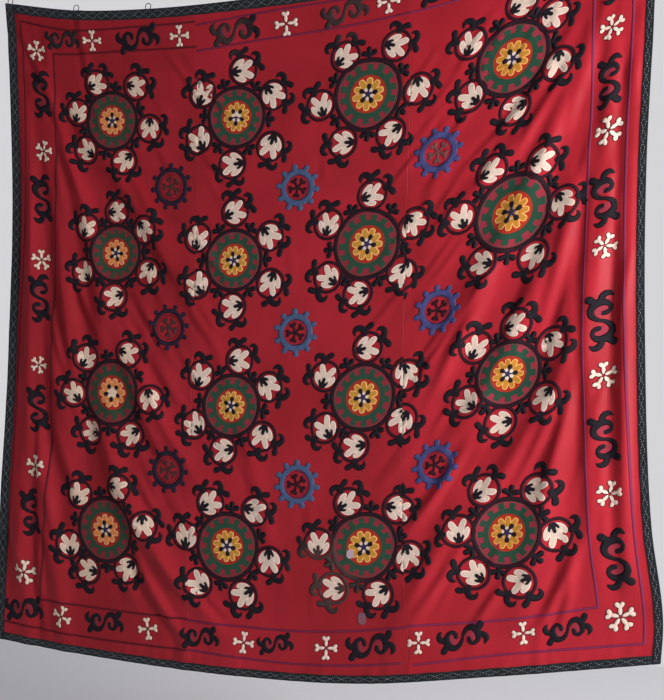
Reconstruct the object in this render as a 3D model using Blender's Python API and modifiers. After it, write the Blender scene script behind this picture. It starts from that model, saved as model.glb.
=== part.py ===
"""Suzani wall hanging: three loom widths of red cotton, a black folded binding and eight cord loops.

The cloth hangs in the XZ plane with its face towards -Y. The origin is the middle of the top edge.
Flat cloth is measured across (u, from the left edge) and down (v, from the top edge), in metres.
"""
from collections import namedtuple

import bmesh
import bpy
import numpy as np

# Flat sizes of the cloth, as cut
CLOTH_WIDTH = 2.38
CLOTH_HEIGHT = 2.34
CLOTH_THICKNESS = 0.0015
SEAM_LEFT = 0.813
SEAM_RIGHT = 1.604
SEAM_GAP = 0.0003

# The tape folded over every edge, narrower in front on the right and at the bottom
TAPE_LEFT = 0.041
TAPE_RIGHT = 0.026
TAPE_TOP = 0.037
TAPE_BOTTOM = 0.028
TAPE_THICKNESS = 0.0012
STIFF_EDGE = 0.042
TAPE_CLEARANCE = 0.0004
CLOTH_INSET = 0.001

# Cells of the grid that each panel is laid out on
CELLS_ACROSS_PANEL = 19
CELLS_DOWN = 27

# Hanging loops of cord
LOOP_CORD = 0.0034
LOOP_SPREAD = 0.020
LOOP_HEIGHT = 0.019
CORNER_LOOP_INSET = 0.022
LOOP_SEAT_GAP = 0.0004

Edge = namedtuple("Edge", "share x height")
Side = namedtuple("Side", "share x")
Fold = namedtuple("Fold", "name head_u head_v waist_u waist_v foot_u foot_v width head_rise rise foot_rise")

# Top edge at its eight hanging points, as a share of the width
TOP_EDGE = (
    Edge(0.000, -1.213, 0.128),
    Edge(0.134, -0.890, 0.058),
    Edge(0.262, -0.581, 0.023),
    Edge(0.414, -0.214, 0.005),
    Edge(0.557, 0.130, 0.000),
    Edge(0.707, 0.490, 0.024),
    Edge(0.852, 0.840, 0.098),
    Edge(1.000, 1.197, 0.192),
)

# Bottom edge, which bellies down between the corners
BOTTOM_EDGE = (
    Edge(0.0, -1.250, -2.253),
    Edge(0.2, -0.764, -2.284),
    Edge(0.4, -0.279, -2.298),
    Edge(0.6, 0.207, -2.284),
    Edge(0.8, 0.692, -2.217),
    Edge(1.0, 1.174, -2.139),
)

# Side edges, drawn in at mid height, as a share of the height from the top
LEFT_EDGE = (
    Side(0.00, -1.213),
    Side(0.10, -1.190),
    Side(0.28, -1.175),
    Side(0.52, -1.190),
    Side(0.80, -1.225),
    Side(1.00, -1.250),
)
RIGHT_EDGE = (
    Side(0.00, 1.197),
    Side(0.16, 1.184),
    Side(0.36, 1.155),
    Side(0.60, 1.142),
    Side(0.83, 1.153),
    Side(0.96, 1.182),
    Side(1.00, 1.174),
)

# Soft folds that fan down from the two top corners: three points of each crest, its half width and its rise
FOLDS = (
    Fold("left border", 0.045, 0.25, 0.100, 0.80, 0.105, 2.00, 0.040, 0.004, 0.013, 0.006),
    Fold("left outer", 0.120, 0.30, 0.265, 1.00, 0.340, 1.72, 0.040, 0.004, 0.015, 0.004),
    Fold("left knee", 0.190, 1.00, 0.235, 1.35, 0.345, 1.80, 0.038, 0.003, 0.014, 0.003),
    Fold("left second", 0.160, 0.30, 0.370, 0.85, 0.470, 1.45, 0.042, 0.004, 0.015, 0.003),
    Fold("left third", 0.300, 0.40, 0.590, 0.74, 0.860, 1.10, 0.055, 0.003, 0.013, 0.002),
    Fold("left middle", 0.430, 1.00, 0.640, 1.44, 0.850, 1.68, 0.055, 0.002, 0.014, 0.002),
    Fold("left foot", 0.130, 1.45, 0.225, 1.88, 0.305, 2.24, 0.042, 0.003, 0.015, 0.009),
    Fold("left sweep", 0.400, 1.30, 0.620, 1.86, 0.960, 2.22, 0.050, 0.003, 0.019, 0.006),
    Fold("bottom left corner", 0.050, 1.70, 0.105, 1.98, 0.150, 2.30, 0.036, 0.002, 0.010, 0.006),
    Fold("right border", 2.335, 0.25, 2.335, 1.00, 2.300, 2.05, 0.026, 0.004, 0.012, 0.004),
    Fold("right channel", 2.290, 0.20, 2.240, 1.05, 2.210, 2.02, 0.036, 0.004, 0.015, 0.005),
    Fold("right first", 2.260, 0.25, 2.110, 0.62, 1.830, 1.20, 0.050, 0.004, 0.017, 0.003),
    Fold("right upper", 2.130, 0.35, 1.960, 0.68, 1.700, 0.90, 0.050, 0.002, 0.012, 0.002),
    Fold("right second", 2.200, 0.68, 2.080, 1.10, 1.640, 1.80, 0.050, 0.003, 0.018, 0.003),
    Fold("right third", 2.190, 0.95, 2.110, 1.46, 1.660, 2.06, 0.050, 0.003, 0.018, 0.003),
    Fold("right fourth", 2.180, 1.28, 2.100, 1.70, 1.960, 2.16, 0.044, 0.003, 0.017, 0.004),
    Fold("right inner", 1.960, 0.86, 1.780, 1.24, 1.640, 1.48, 0.050, 0.002, 0.012, 0.002),
    Fold("right foot", 1.830, 1.70, 1.700, 1.96, 1.560, 2.20, 0.045, 0.002, 0.013, 0.004),
)
FOLD_FULLNESS = 1.35
FOLD_FADE = 0.10
MIDDLE_BELLY = 0.012

# Colours, as linear values
RED = (0.36, 0.012, 0.022, 1.0)
BLACK = (0.012, 0.014, 0.020, 1.0)


def curve_through(stations, values, share):
    """Smooth curve through values at stations, read at the given shares."""
    stations = np.asarray(stations, float)
    values = np.asarray(values, float)
    slopes = np.gradient(values, stations)
    span = np.clip(np.searchsorted(stations, share) - 1, 0, len(stations) - 2)
    length = stations[span + 1] - stations[span]
    t = (share - stations[span]) / length
    ahead = t * t * (3 - 2 * t)
    return (
        (1 - ahead) * values[span]
        + ahead * values[span + 1]
        + t * (1 - t) * length * ((1 - t) * slopes[span] - t * slopes[span + 1])
    )


def edge_curve(table, share, column):
    """One column of an edge table as a smooth curve along that edge."""
    return curve_through([row.share for row in table], [getattr(row, column) for row in table], share)


def outline(across, down):
    """Place on the wall of a share across and a share down, blended between the four hanging edges."""
    top_x, top_z = edge_curve(TOP_EDGE, across, "x"), edge_curve(TOP_EDGE, across, "height")
    low_x, low_z = edge_curve(BOTTOM_EDGE, across, "x"), edge_curve(BOTTOM_EDGE, across, "height")
    left_x, right_x = edge_curve(LEFT_EDGE, down, "x"), edge_curve(RIGHT_EDGE, down, "x")
    x = (1 - down) * top_x + down * low_x + (1 - across) * left_x + across * right_x
    for near, top, low in ((1 - across, TOP_EDGE[0], BOTTOM_EDGE[0]), (across, TOP_EDGE[-1], BOTTOM_EDGE[-1])):
        x = x - near * ((1 - down) * top.x + down * low.x)
    z = (1 - down) * top_z + down * low_z
    return x, z


def fold_rise(fold, u, v):
    """How far one soft fold lifts the cloth at flat points u, v."""
    share = np.clip((v - fold.head_v) / (fold.foot_v - fold.head_v), 0.0, 1.0)
    waist = (fold.waist_v - fold.head_v) / (fold.foot_v - fold.head_v)
    centre = curve_through((0.0, waist, 1.0), (fold.head_u, fold.waist_u, fold.foot_u), share)
    rise = curve_through((0.0, waist, 1.0), (fold.head_rise, fold.rise, fold.foot_rise), share)
    beyond = np.maximum(fold.head_v - v, v - fold.foot_v)
    fade = np.exp(-(np.maximum(beyond, 0.0) / FOLD_FADE) ** 2)
    return FOLD_FULLNESS * rise * fade * np.exp(-(((u - centre) / fold.width) ** 2))


def depth(u, v):
    """Depth of the cloth's middle; the binding stiffens the edge, so nothing changes across that strip."""
    u = np.clip(u, STIFF_EDGE, CLOTH_WIDTH - STIFF_EDGE)
    v = np.clip(v, STIFF_EDGE, CLOTH_HEIGHT - STIFF_EDGE)
    belly = MIDDLE_BELLY * np.sin(np.pi * u / CLOTH_WIDTH) * np.sin(0.5 * np.pi * v / CLOTH_HEIGHT)
    return -belly - sum(fold_rise(fold, u, v) for fold in FOLDS)


def hang(u, v, forward=0.0):
    """Points of the hanging cloth at flat places u, v, moved forward by a little."""
    u, v = np.asarray(u, float), np.asarray(v, float)
    x, z = outline(u / CLOTH_WIDTH, v / CLOTH_HEIGHT)
    return np.stack((x, depth(u, v) - forward, z), axis=-1)


def stations_across(start, end, cells):
    """Grid lines from start to end, with one on each stiff strip's inner edge."""
    lines = list(np.linspace(start, end, cells + 1))
    if start < STIFF_EDGE:
        lines = [start] + list(np.linspace(STIFF_EDGE, end, cells))
    if end > CLOTH_WIDTH - STIFF_EDGE:
        lines = list(np.linspace(start, CLOTH_WIDTH - STIFF_EDGE, cells)) + [end]
    return np.array(lines)


def stations_down(start, end):
    """Grid lines down the cloth, the first and last row being the stiff strips."""
    middle = np.linspace(STIFF_EDGE, CLOTH_HEIGHT - STIFF_EDGE, CELLS_DOWN - 1)
    return np.concatenate(([start], middle, [end]))


def grid_mesh(across, down, place):
    """A flat grid primitive whose points are moved by place(across, down)."""
    mesh = bmesh.new()
    bmesh.ops.create_grid(mesh, x_segments=len(across) - 1, y_segments=len(down) - 1, size=1.0)
    columns = [round((vert.co.x + 1) / 2 * (len(across) - 1)) for vert in mesh.verts]
    rows = [round((1 - vert.co.y) / 2 * (len(down) - 1)) for vert in mesh.verts]
    places = place(np.asarray(across)[columns], np.asarray(down)[rows])
    for vert, point in zip(mesh.verts, places):
        vert.co = point
    return mesh


def material(name, colour, roughness):
    """A plain Principled material."""
    finish = bpy.data.materials.new(name)
    finish.use_nodes = True
    shader = finish.node_tree.nodes["Principled BSDF"]
    shader.inputs["Base Color"].default_value = colour
    shader.inputs["Roughness"].default_value = roughness
    shader.inputs["Metallic"].default_value = 0.0
    finish.diffuse_color = colour
    return finish


def add_object(name, data, finish, collection):
    """Link one sub-part with its own material."""
    thing = bpy.data.objects.new(name, data)
    data.materials.append(finish)
    collection.objects.link(thing)
    return thing


def face_outwards(mesh):
    """Turn every face of a closed shape outwards."""
    bmesh.ops.recalc_face_normals(mesh, faces=mesh.faces)


def cloth_panel(name, across, collection):
    """One loom width: a thin sheet of even thickness front to back."""
    down = stations_down(CLOTH_INSET, CLOTH_HEIGHT - CLOTH_INSET)
    mesh = grid_mesh(across, down, lambda u, v: hang(u, v, forward=CLOTH_THICKNESS / 2))
    back = bmesh.ops.extrude_face_region(mesh, geom=list(mesh.faces))["geom"]
    back_verts = [item for item in back if isinstance(item, bmesh.types.BMVert)]
    bmesh.ops.translate(mesh, verts=back_verts, vec=(0.0, CLOTH_THICKNESS, 0.0))
    face_outwards(mesh)
    data = bpy.data.meshes.new(name)
    mesh.to_mesh(data)
    mesh.free()
    data.shade_smooth()
    return add_object(name, data, material(name + "_cotton", RED, 0.55), collection)


def binding(name, width, along, point, collection):
    """A tape folded over one edge; point(along, inwards) gives the flat place of a tape point."""
    reach = width - TAPE_CLEARANCE
    half = CLOTH_THICKNESS / 2 + TAPE_CLEARANCE
    fold_line = CLOTH_INSET - TAPE_CLEARANCE
    section = ((reach, half), (fold_line, half), (fold_line, -half), (reach, -half))

    def place(distance, corner):
        inwards = np.array([section[int(round(k))][0] for k in corner])
        forward = np.array([section[int(round(k))][1] for k in corner])
        u, v = point(distance, inwards)
        return hang(u, v, forward)

    mesh = grid_mesh(along, np.arange(len(section)), place)
    data = bpy.data.meshes.new(name)
    mesh.to_mesh(data)
    mesh.free()
    tape = add_object(name, data, material(name + "_tape", BLACK, 0.8), collection)
    wall = tape.modifiers.new("tape thickness", "SOLIDIFY")
    wall.thickness = TAPE_THICKNESS
    wall.use_even_offset = True
    wall.offset = outward_offset(data, width, along, point)
    return tape


def outward_offset(data, width, along, point):
    """Side on which Solidify grows the tape away from the cloth it is folded over."""
    middle = along[len(along) // 2]
    inner = hang(*point(np.array([middle]), np.array([width / 2])))[0]
    front = min(data.polygons, key=lambda face: sum((face.center[k] - inner[k]) ** 2 for k in (0, 2)))
    away = front.normal[1] * (front.center[1] - inner[1])
    return 1.0 if away > 0 else -1.0


def hanging_loop(name, u, collection):
    """A short loop of cord standing on the top edge, its two ends seated on the binding."""
    foot_v = CLOTH_INSET - TAPE_CLEARANCE - TAPE_THICKNESS
    seat = hang(np.array([u - LOOP_SPREAD / 2, u, u + LOOP_SPREAD / 2]), np.full(3, foot_v))
    along = seat[2] - seat[0]
    along[1] = 0.0
    along /= np.linalg.norm(along)
    upwards = np.array([-along[2], 0.0, along[0]])
    start = (seat[0] + seat[2]) / 2 + upwards * (LOOP_SEAT_GAP + edge_sag(seat, upwards))
    half = LOOP_SPREAD / 2
    top = LOOP_HEIGHT
    half_outline = ((half, 0.0), (half, 0.2 * top), (1.12 * half, 0.5 * top), (0.8 * half, 0.84 * top))
    right = [start + along * side + upwards * high for side, high in half_outline]
    left = [start - along * side + upwards * high for side, high in reversed(half_outline)]
    route = right + [start + upwards * top] + left
    curve = bpy.data.curves.new(name, "CURVE")
    curve.dimensions = "3D"
    curve.bevel_depth = LOOP_CORD / 2
    curve.bevel_resolution = 1
    curve.use_fill_caps = True
    line = curve.splines.new("POLY")
    line.points.add(len(route) - 1)
    for spot, place in zip(line.points, route):
        spot.co = (*place, 1.0)
    return add_object(name, curve, material(name + "_cord", BLACK, 0.9), collection)


def edge_sag(seat, upwards):
    """How far the edge's middle stands above the line between a loop's two ends."""
    return max(0.0, float(np.dot(seat[1] - (seat[0] + seat[2]) / 2, upwards)))


def build():
    """Make every sub-part in one collection."""
    for thing in list(bpy.data.objects):
        bpy.data.objects.remove(thing, do_unlink=True)
    parts = bpy.data.collections.new("suzani_wall_hanging")
    bpy.context.scene.collection.children.link(parts)

    left = stations_across(CLOTH_INSET, SEAM_LEFT - SEAM_GAP / 2, CELLS_ACROSS_PANEL)
    middle = stations_across(SEAM_LEFT + SEAM_GAP / 2, SEAM_RIGHT - SEAM_GAP / 2, CELLS_ACROSS_PANEL)
    right = stations_across(SEAM_RIGHT + SEAM_GAP / 2, CLOTH_WIDTH - CLOTH_INSET, CELLS_ACROSS_PANEL)
    cloth_panel("cloth_panel_left", left, parts)
    cloth_panel("cloth_panel_middle", middle, parts)
    cloth_panel("cloth_panel_right", right, parts)

    ends = [TAPE_LEFT], [CLOTH_WIDTH - TAPE_RIGHT]
    across = np.concatenate((ends[0], left[2:-1], [SEAM_LEFT], middle[1:-1], [SEAM_RIGHT], right[1:-1], ends[1]))
    outer = CLOTH_INSET - TAPE_CLEARANCE - TAPE_THICKNESS
    down = stations_down(outer, CLOTH_HEIGHT - outer)
    binding("binding_top", TAPE_TOP, across, lambda s, d: (s, d), parts)
    binding("binding_bottom", TAPE_BOTTOM, across, lambda s, d: (s, CLOTH_HEIGHT - d), parts)
    binding("binding_left", TAPE_LEFT, down, lambda s, d: (d, s), parts)
    binding("binding_right", TAPE_RIGHT, down, lambda s, d: (CLOTH_WIDTH - d, s), parts)

    hanging_points = [row.share * CLOTH_WIDTH for row in TOP_EDGE]
    hanging_points[0] = CORNER_LOOP_INSET
    hanging_points[-1] = CLOTH_WIDTH - CORNER_LOOP_INSET
    for number, u in enumerate(hanging_points, start=1):
        hanging_loop(f"hanging_loop_{number}", u, parts)


build()
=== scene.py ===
"""Looks of the suzani wall hanging: creased red cotton, stitched embroidery, folded binding and cord loops.

The cloth hangs in the XZ plane with its face towards -Y and the middle of its top edge at the origin.
Flat cloth is measured across (u, from the left edge) and down (v, from the top edge), in metres.
Every motif is laid out flat on the cloth, cut at the seams that it crosses, and then hung with the cloth.
"""
from collections import namedtuple
import math
import random

import bpy
from bpy.props import FloatProperty, FloatVectorProperty, PointerProperty
from mathutils import Matrix, Vector
import numpy as np


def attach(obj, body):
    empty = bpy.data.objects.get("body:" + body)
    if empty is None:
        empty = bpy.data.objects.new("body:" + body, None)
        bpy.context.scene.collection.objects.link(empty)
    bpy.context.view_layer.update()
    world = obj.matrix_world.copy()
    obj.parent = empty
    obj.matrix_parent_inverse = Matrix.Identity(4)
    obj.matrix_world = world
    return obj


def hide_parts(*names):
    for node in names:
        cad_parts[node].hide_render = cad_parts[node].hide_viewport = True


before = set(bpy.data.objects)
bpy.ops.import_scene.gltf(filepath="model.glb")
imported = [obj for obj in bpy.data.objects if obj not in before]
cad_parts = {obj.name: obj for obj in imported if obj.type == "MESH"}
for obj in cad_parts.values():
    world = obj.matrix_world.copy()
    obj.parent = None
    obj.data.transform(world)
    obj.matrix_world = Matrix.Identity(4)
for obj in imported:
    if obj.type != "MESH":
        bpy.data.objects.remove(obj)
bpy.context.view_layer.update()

bl_info = {
    "name": "Suzani wall hanging",
    "version": (1, 0, 0),
    "blender": (4, 5, 0),
    "location": "View3D > Sidebar > Suzani",
    "description": "Cotton cloth, embroidery, binding and loops of a suzani wall hanging",
    "category": "Add Mesh",
}

BODY = "root"

# Flat sizes of the cloth, as cut
CLOTH_WIDTH = 2.38
CLOTH_HEIGHT = 2.34
CLOTH_THICKNESS = 0.0015
SEAM_LEFT = 0.813
SEAM_RIGHT = 1.604
SEAM_GAP = 0.00004
TAPE_LEFT = 0.041
TAPE_RIGHT = 0.026
TAPE_TOP = 0.037
TAPE_BOTTOM = 0.028
TAPE_THICKNESS = 0.0012
TAPE_CLEARANCE = 0.0004
CLOTH_INSET = 0.001
CLOTH_CELL = 0.0105
SEAM_STRIP = 0.0025
SEAM_TURN = 0.00002

# Hanging loops of cord
LOOP_SPREAD = 0.020
LOOP_HEIGHT = 0.019
CORNER_LOOP_INSET = 0.022
LOOP_SINK = 0.003
LOOP_STEPS = 34
STRAND_RADIUS = 0.00095
STRAND_OFFSET = 0.00075
STRAND_TWIST = 0.62

Edge = namedtuple("Edge", "share x height")
Side = namedtuple("Side", "share x")
Fold = namedtuple("Fold", "name head_u head_v waist_u waist_v foot_u foot_v width head_rise rise foot_rise")

# Top edge at its eight hanging points, as a share of the width
TOP_EDGE = (
    Edge(0.000, -1.213, 0.128),
    Edge(0.134, -0.890, 0.058),
    Edge(0.262, -0.581, 0.023),
    Edge(0.414, -0.214, 0.005),
    Edge(0.557, 0.130, 0.000),
    Edge(0.707, 0.490, 0.024),
    Edge(0.852, 0.840, 0.098),
    Edge(1.000, 1.197, 0.192),
)

# Bottom edge, which bellies down between the corners
BOTTOM_EDGE = (
    Edge(0.0, -1.250, -2.253),
    Edge(0.2, -0.764, -2.284),
    Edge(0.4, -0.279, -2.298),
    Edge(0.6, 0.207, -2.284),
    Edge(0.8, 0.692, -2.217),
    Edge(1.0, 1.174, -2.139),
)

# Side edges, drawn in at mid height, as a share of the height from the top
LEFT_EDGE = (
    Side(0.00, -1.213),
    Side(0.10, -1.190),
    Side(0.28, -1.175),
    Side(0.52, -1.190),
    Side(0.80, -1.225),
    Side(1.00, -1.250),
)
RIGHT_EDGE = (
    Side(0.00, 1.197),
    Side(0.16, 1.184),
    Side(0.36, 1.155),
    Side(0.60, 1.142),
    Side(0.83, 1.153),
    Side(0.96, 1.182),
    Side(1.00, 1.174),
)

# Soft folds that fan down from the two top corners: three points of each crest, its half width and its rise
FOLDS = (
    Fold("left border", 0.045, 0.25, 0.100, 0.80, 0.105, 2.00, 0.040, 0.004, 0.013, 0.006),
    Fold("left outer", 0.120, 0.30, 0.265, 1.00, 0.340, 1.72, 0.040, 0.004, 0.015, 0.004),
    Fold("left knee", 0.190, 1.00, 0.235, 1.35, 0.345, 1.80, 0.038, 0.003, 0.014, 0.003),
    Fold("left second", 0.160, 0.30, 0.370, 0.85, 0.470, 1.45, 0.042, 0.004, 0.015, 0.003),
    Fold("left third", 0.300, 0.40, 0.590, 0.74, 0.860, 1.10, 0.055, 0.003, 0.013, 0.002),
    Fold("left middle", 0.430, 1.00, 0.640, 1.44, 0.850, 1.68, 0.055, 0.002, 0.014, 0.002),
    Fold("left foot", 0.130, 1.45, 0.225, 1.88, 0.305, 2.24, 0.042, 0.003, 0.015, 0.009),
    Fold("left sweep", 0.400, 1.30, 0.620, 1.86, 0.960, 2.22, 0.050, 0.003, 0.019, 0.006),
    Fold("bottom left corner", 0.050, 1.70, 0.105, 1.98, 0.150, 2.30, 0.036, 0.002, 0.010, 0.006),
    Fold("right border", 2.335, 0.25, 2.335, 1.00, 2.300, 2.05, 0.026, 0.004, 0.012, 0.004),
    Fold("right channel", 2.290, 0.20, 2.240, 1.05, 2.210, 2.02, 0.036, 0.004, 0.015, 0.005),
    Fold("right first", 2.260, 0.25, 2.110, 0.62, 1.830, 1.20, 0.050, 0.004, 0.017, 0.003),
    Fold("right upper", 2.130, 0.35, 1.960, 0.68, 1.700, 0.90, 0.050, 0.002, 0.012, 0.002),
    Fold("right second", 2.200, 0.68, 2.080, 1.10, 1.640, 1.80, 0.050, 0.003, 0.018, 0.003),
    Fold("right third", 2.190, 0.95, 2.110, 1.46, 1.660, 2.06, 0.050, 0.003, 0.018, 0.003),
    Fold("right fourth", 2.180, 1.28, 2.100, 1.70, 1.960, 2.16, 0.044, 0.003, 0.017, 0.004),
    Fold("right inner", 1.960, 0.86, 1.780, 1.24, 1.640, 1.48, 0.050, 0.002, 0.012, 0.002),
    Fold("right foot", 1.830, 1.70, 1.700, 1.96, 1.560, 2.20, 0.045, 0.002, 0.013, 0.004),
)
FOLD_FULLNESS = 1.35
FOLD_FADE = 0.10
MIDDLE_BELLY = 0.012

# Narrower creases that only the fine cloth has, fanning down from the top corners
CREASES = (
    Fold("top left tension", 0.060, 0.10, 0.170, 0.30, 0.300, 0.62, 0.018, 0.003, 0.005, 0.001),
    Fold("second loop tension", 0.330, 0.06, 0.350, 0.20, 0.400, 0.42, 0.016, 0.003, 0.004, 0.001),
    Fold("left border upper", 0.085, 0.35, 0.100, 0.80, 0.092, 1.30, 0.014, 0.001, 0.004, 0.002),
    Fold("left edge", 0.062, 0.40, 0.066, 0.95, 0.060, 1.60, 0.014, 0.001, 0.004, 0.002),
    Fold("left border lower", 0.150, 1.25, 0.175, 1.60, 0.195, 2.05, 0.016, 0.001, 0.005, 0.003),
    Fold("left fan one", 0.195, 0.44, 0.238, 0.68, 0.300, 0.92, 0.020, 0.002, 0.004, 0.001),
    Fold("left fan two", 0.230, 0.48, 0.290, 0.61, 0.370, 0.76, 0.020, 0.002, 0.006, 0.001),
    Fold("left fan three", 0.222, 0.93, 0.265, 1.12, 0.335, 1.34, 0.024, 0.003, 0.008, 0.002),
    Fold("left fan four", 0.305, 0.97, 0.360, 1.09, 0.450, 1.24, 0.022, 0.002, 0.006, 0.001),
    Fold("left fan five", 0.207, 1.10, 0.240, 1.24, 0.300, 1.37, 0.015, 0.001, 0.005, 0.001),
    Fold("left fan six", 0.215, 1.45, 0.265, 1.59, 0.335, 1.74, 0.024, 0.003, 0.008, 0.002),
    Fold("left fan seven", 0.198, 1.68, 0.232, 1.83, 0.290, 1.98, 0.020, 0.002, 0.006, 0.002),
    Fold("left fan eight", 0.400, 1.44, 0.450, 1.56, 0.510, 1.70, 0.022, 0.002, 0.006, 0.001),
    Fold("left corner", 0.045, 1.88, 0.085, 2.00, 0.140, 2.12, 0.015, 0.001, 0.005, 0.001),
    Fold("left foot", 0.172, 1.90, 0.192, 2.06, 0.225, 2.26, 0.018, 0.002, 0.006, 0.004),
    Fold("middle fan one", 0.520, 0.58, 0.590, 0.68, 0.670, 0.79, 0.020, 0.001, 0.005, 0.001),
    Fold("middle fan two", 0.610, 0.80, 0.680, 0.90, 0.760, 1.00, 0.022, 0.001, 0.006, 0.001),
    Fold("middle fan three", 0.545, 1.00, 0.600, 1.08, 0.670, 1.17, 0.020, 0.001, 0.005, 0.001),
    Fold("middle fan four", 0.620, 1.22, 0.700, 1.33, 0.790, 1.44, 0.023, 0.001, 0.006, 0.001),
    Fold("middle fan five", 0.600, 1.44, 0.660, 1.54, 0.740, 1.65, 0.024, 0.002, 0.008, 0.001),
    Fold("middle fan six", 0.590, 1.66, 0.640, 1.74, 0.710, 1.84, 0.020, 0.001, 0.006, 0.001),
    Fold("middle fan seven", 0.770, 1.04, 0.840, 1.13, 0.920, 1.23, 0.022, 0.001, 0.005, 0.001),
    Fold("sweep", 0.590, 1.91, 0.672, 2.07, 0.800, 2.24, 0.024, 0.003, 0.014, 0.006),
    Fold("sweep beside", 0.680, 1.92, 0.735, 2.00, 0.810, 2.09, 0.020, 0.001, 0.005, 0.001),
    Fold("sweep foot", 0.870, 2.05, 0.920, 2.10, 0.990, 2.16, 0.018, 0.001, 0.005, 0.001),
    Fold("middle soft", 0.900, 1.20, 1.060, 1.62, 1.180, 2.10, 0.030, 0.001, 0.004, 0.001),
    Fold("right fan one", 2.130, 0.48, 2.040, 0.61, 1.945, 0.76, 0.022, 0.002, 0.007, 0.001),
    Fold("right fan two", 2.160, 0.33, 1.990, 0.55, 1.750, 0.75, 0.026, 0.002, 0.006, 0.001),
    Fold("right fan three", 2.190, 0.40, 2.158, 0.58, 2.125, 0.76, 0.015, 0.001, 0.002, 0.001),
    Fold("right fan four", 1.940, 1.01, 1.880, 1.09, 1.810, 1.19, 0.018, 0.001, 0.006, 0.001),
    Fold("right fan five", 2.160, 0.95, 2.112, 1.13, 2.045, 1.32, 0.022, 0.003, 0.008, 0.002),
    Fold("right fan six", 1.890, 1.12, 1.790, 1.28, 1.690, 1.46, 0.024, 0.002, 0.009, 0.001),
    Fold("right fan seven", 1.870, 1.54, 1.750, 1.71, 1.600, 1.88, 0.030, 0.003, 0.013, 0.002),
    Fold("right fan eight", 2.187, 1.38, 2.140, 1.58, 2.065, 1.80, 0.020, 0.003, 0.008, 0.002),
    Fold("right fan nine", 2.125, 1.50, 2.040, 1.66, 1.950, 1.80, 0.020, 0.002, 0.008, 0.001),
    Fold("right fan ten", 1.830, 1.88, 1.730, 2.02, 1.630, 2.14, 0.024, 0.002, 0.010, 0.003),
    Fold("right fan eleven", 1.940, 2.03, 1.880, 2.10, 1.810, 2.19, 0.019, 0.001, 0.007, 0.002),
    Fold("right fan twelve", 2.180, 1.93, 2.110, 2.06, 2.020, 2.20, 0.022, 0.002, 0.011, 0.003),
    Fold("right fan thirteen", 1.790, 0.90, 1.720, 0.98, 1.650, 1.06, 0.018, 0.001, 0.004, 0.001),
    Fold("right fan fourteen", 1.850, 0.48, 1.790, 0.54, 1.730, 0.61, 0.016, 0.001, 0.004, 0.001),
    Fold("right channel side", 2.215, 0.85, 2.205, 1.32, 2.202, 1.85, 0.017, 0.003, 0.006, 0.002),
    Fold("right border slant", 2.300, 0.75, 2.265, 0.95, 2.235, 1.18, 0.018, 0.001, 0.003, 0.001),
    Fold("right edge", 2.318, 0.40, 2.310, 1.10, 2.322, 1.80, 0.014, 0.001, 0.005, 0.002),
    Fold("right border low", 2.322, 1.42, 2.308, 1.72, 2.300, 2.02, 0.022, 0.001, 0.006, 0.002),
    Fold("right edge slant", 2.345, 1.08, 2.322, 1.22, 2.300, 1.40, 0.014, 0.001, 0.005, 0.001),
)
VALLEY_SHARE = 0.55
VALLEY_OFFSET = 1.5

Field = namedtuple("Field", "start end count lean_start lean_end rise")

# Strips of the cloth with short shallow creases; lean is how far they run across for each metre down
CREASE_FIELDS = (
    Field(0.045, 0.200, 24, 0.02, 0.05, 0.0022),
    Field(0.210, 0.950, 64, 0.25, 0.85, 0.0028),
    Field(0.950, 1.550, 26, 0.75, -0.60, 0.0014),
    Field(1.550, 2.180, 66, -0.95, -0.25, 0.0030),
    Field(2.190, 2.350, 34, -0.14, -0.04, 0.0028),
)
CREASE_TOP = 0.16
CREASE_BOTTOM = 2.16
CREASE_REACH = 0.14
CREASE_WIDTHS = (0.013, 0.020)
CREASE_HALF_LENGTHS = (0.05, 0.13)

# How far a medallion's stitching flattens the folds, and how far out, in medallion radii
STIFFNESS = 0.42
STIFF_REACH = 1.1

# Gathers above the bottom binding
GATHERS = 44
GATHER_HEIGHT = 0.055
GATHER_RISE = 0.0022
GATHER_WIDTH = 0.011

# Heights of the layers of stitching above the cloth
LEVEL = {"ground": 0.00045, "low": 0.00075, "middle": 0.0011, "high": 0.0015, "top": 0.0019, "heart": 0.0024}
WELD = 0.00001
SHARP_EDGE = math.radians(30)
FLAT_ANGLE = math.radians(0.5)
FLAT_LATTICE = 0.017
LATTICE_SHIFT = 0.0001

# Sizes that the motifs are drawn at, before each copy is scaled
DRAWN_MEDALLION = 0.120
DRAWN_GEAR = 0.085
DRAWN_SPRIG = 0.044
DRAWN_SCROLL = 0.165

Medallion = namedtuple("Medallion", "name u v radius angles openings reaches bloom teeth slip")

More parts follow.
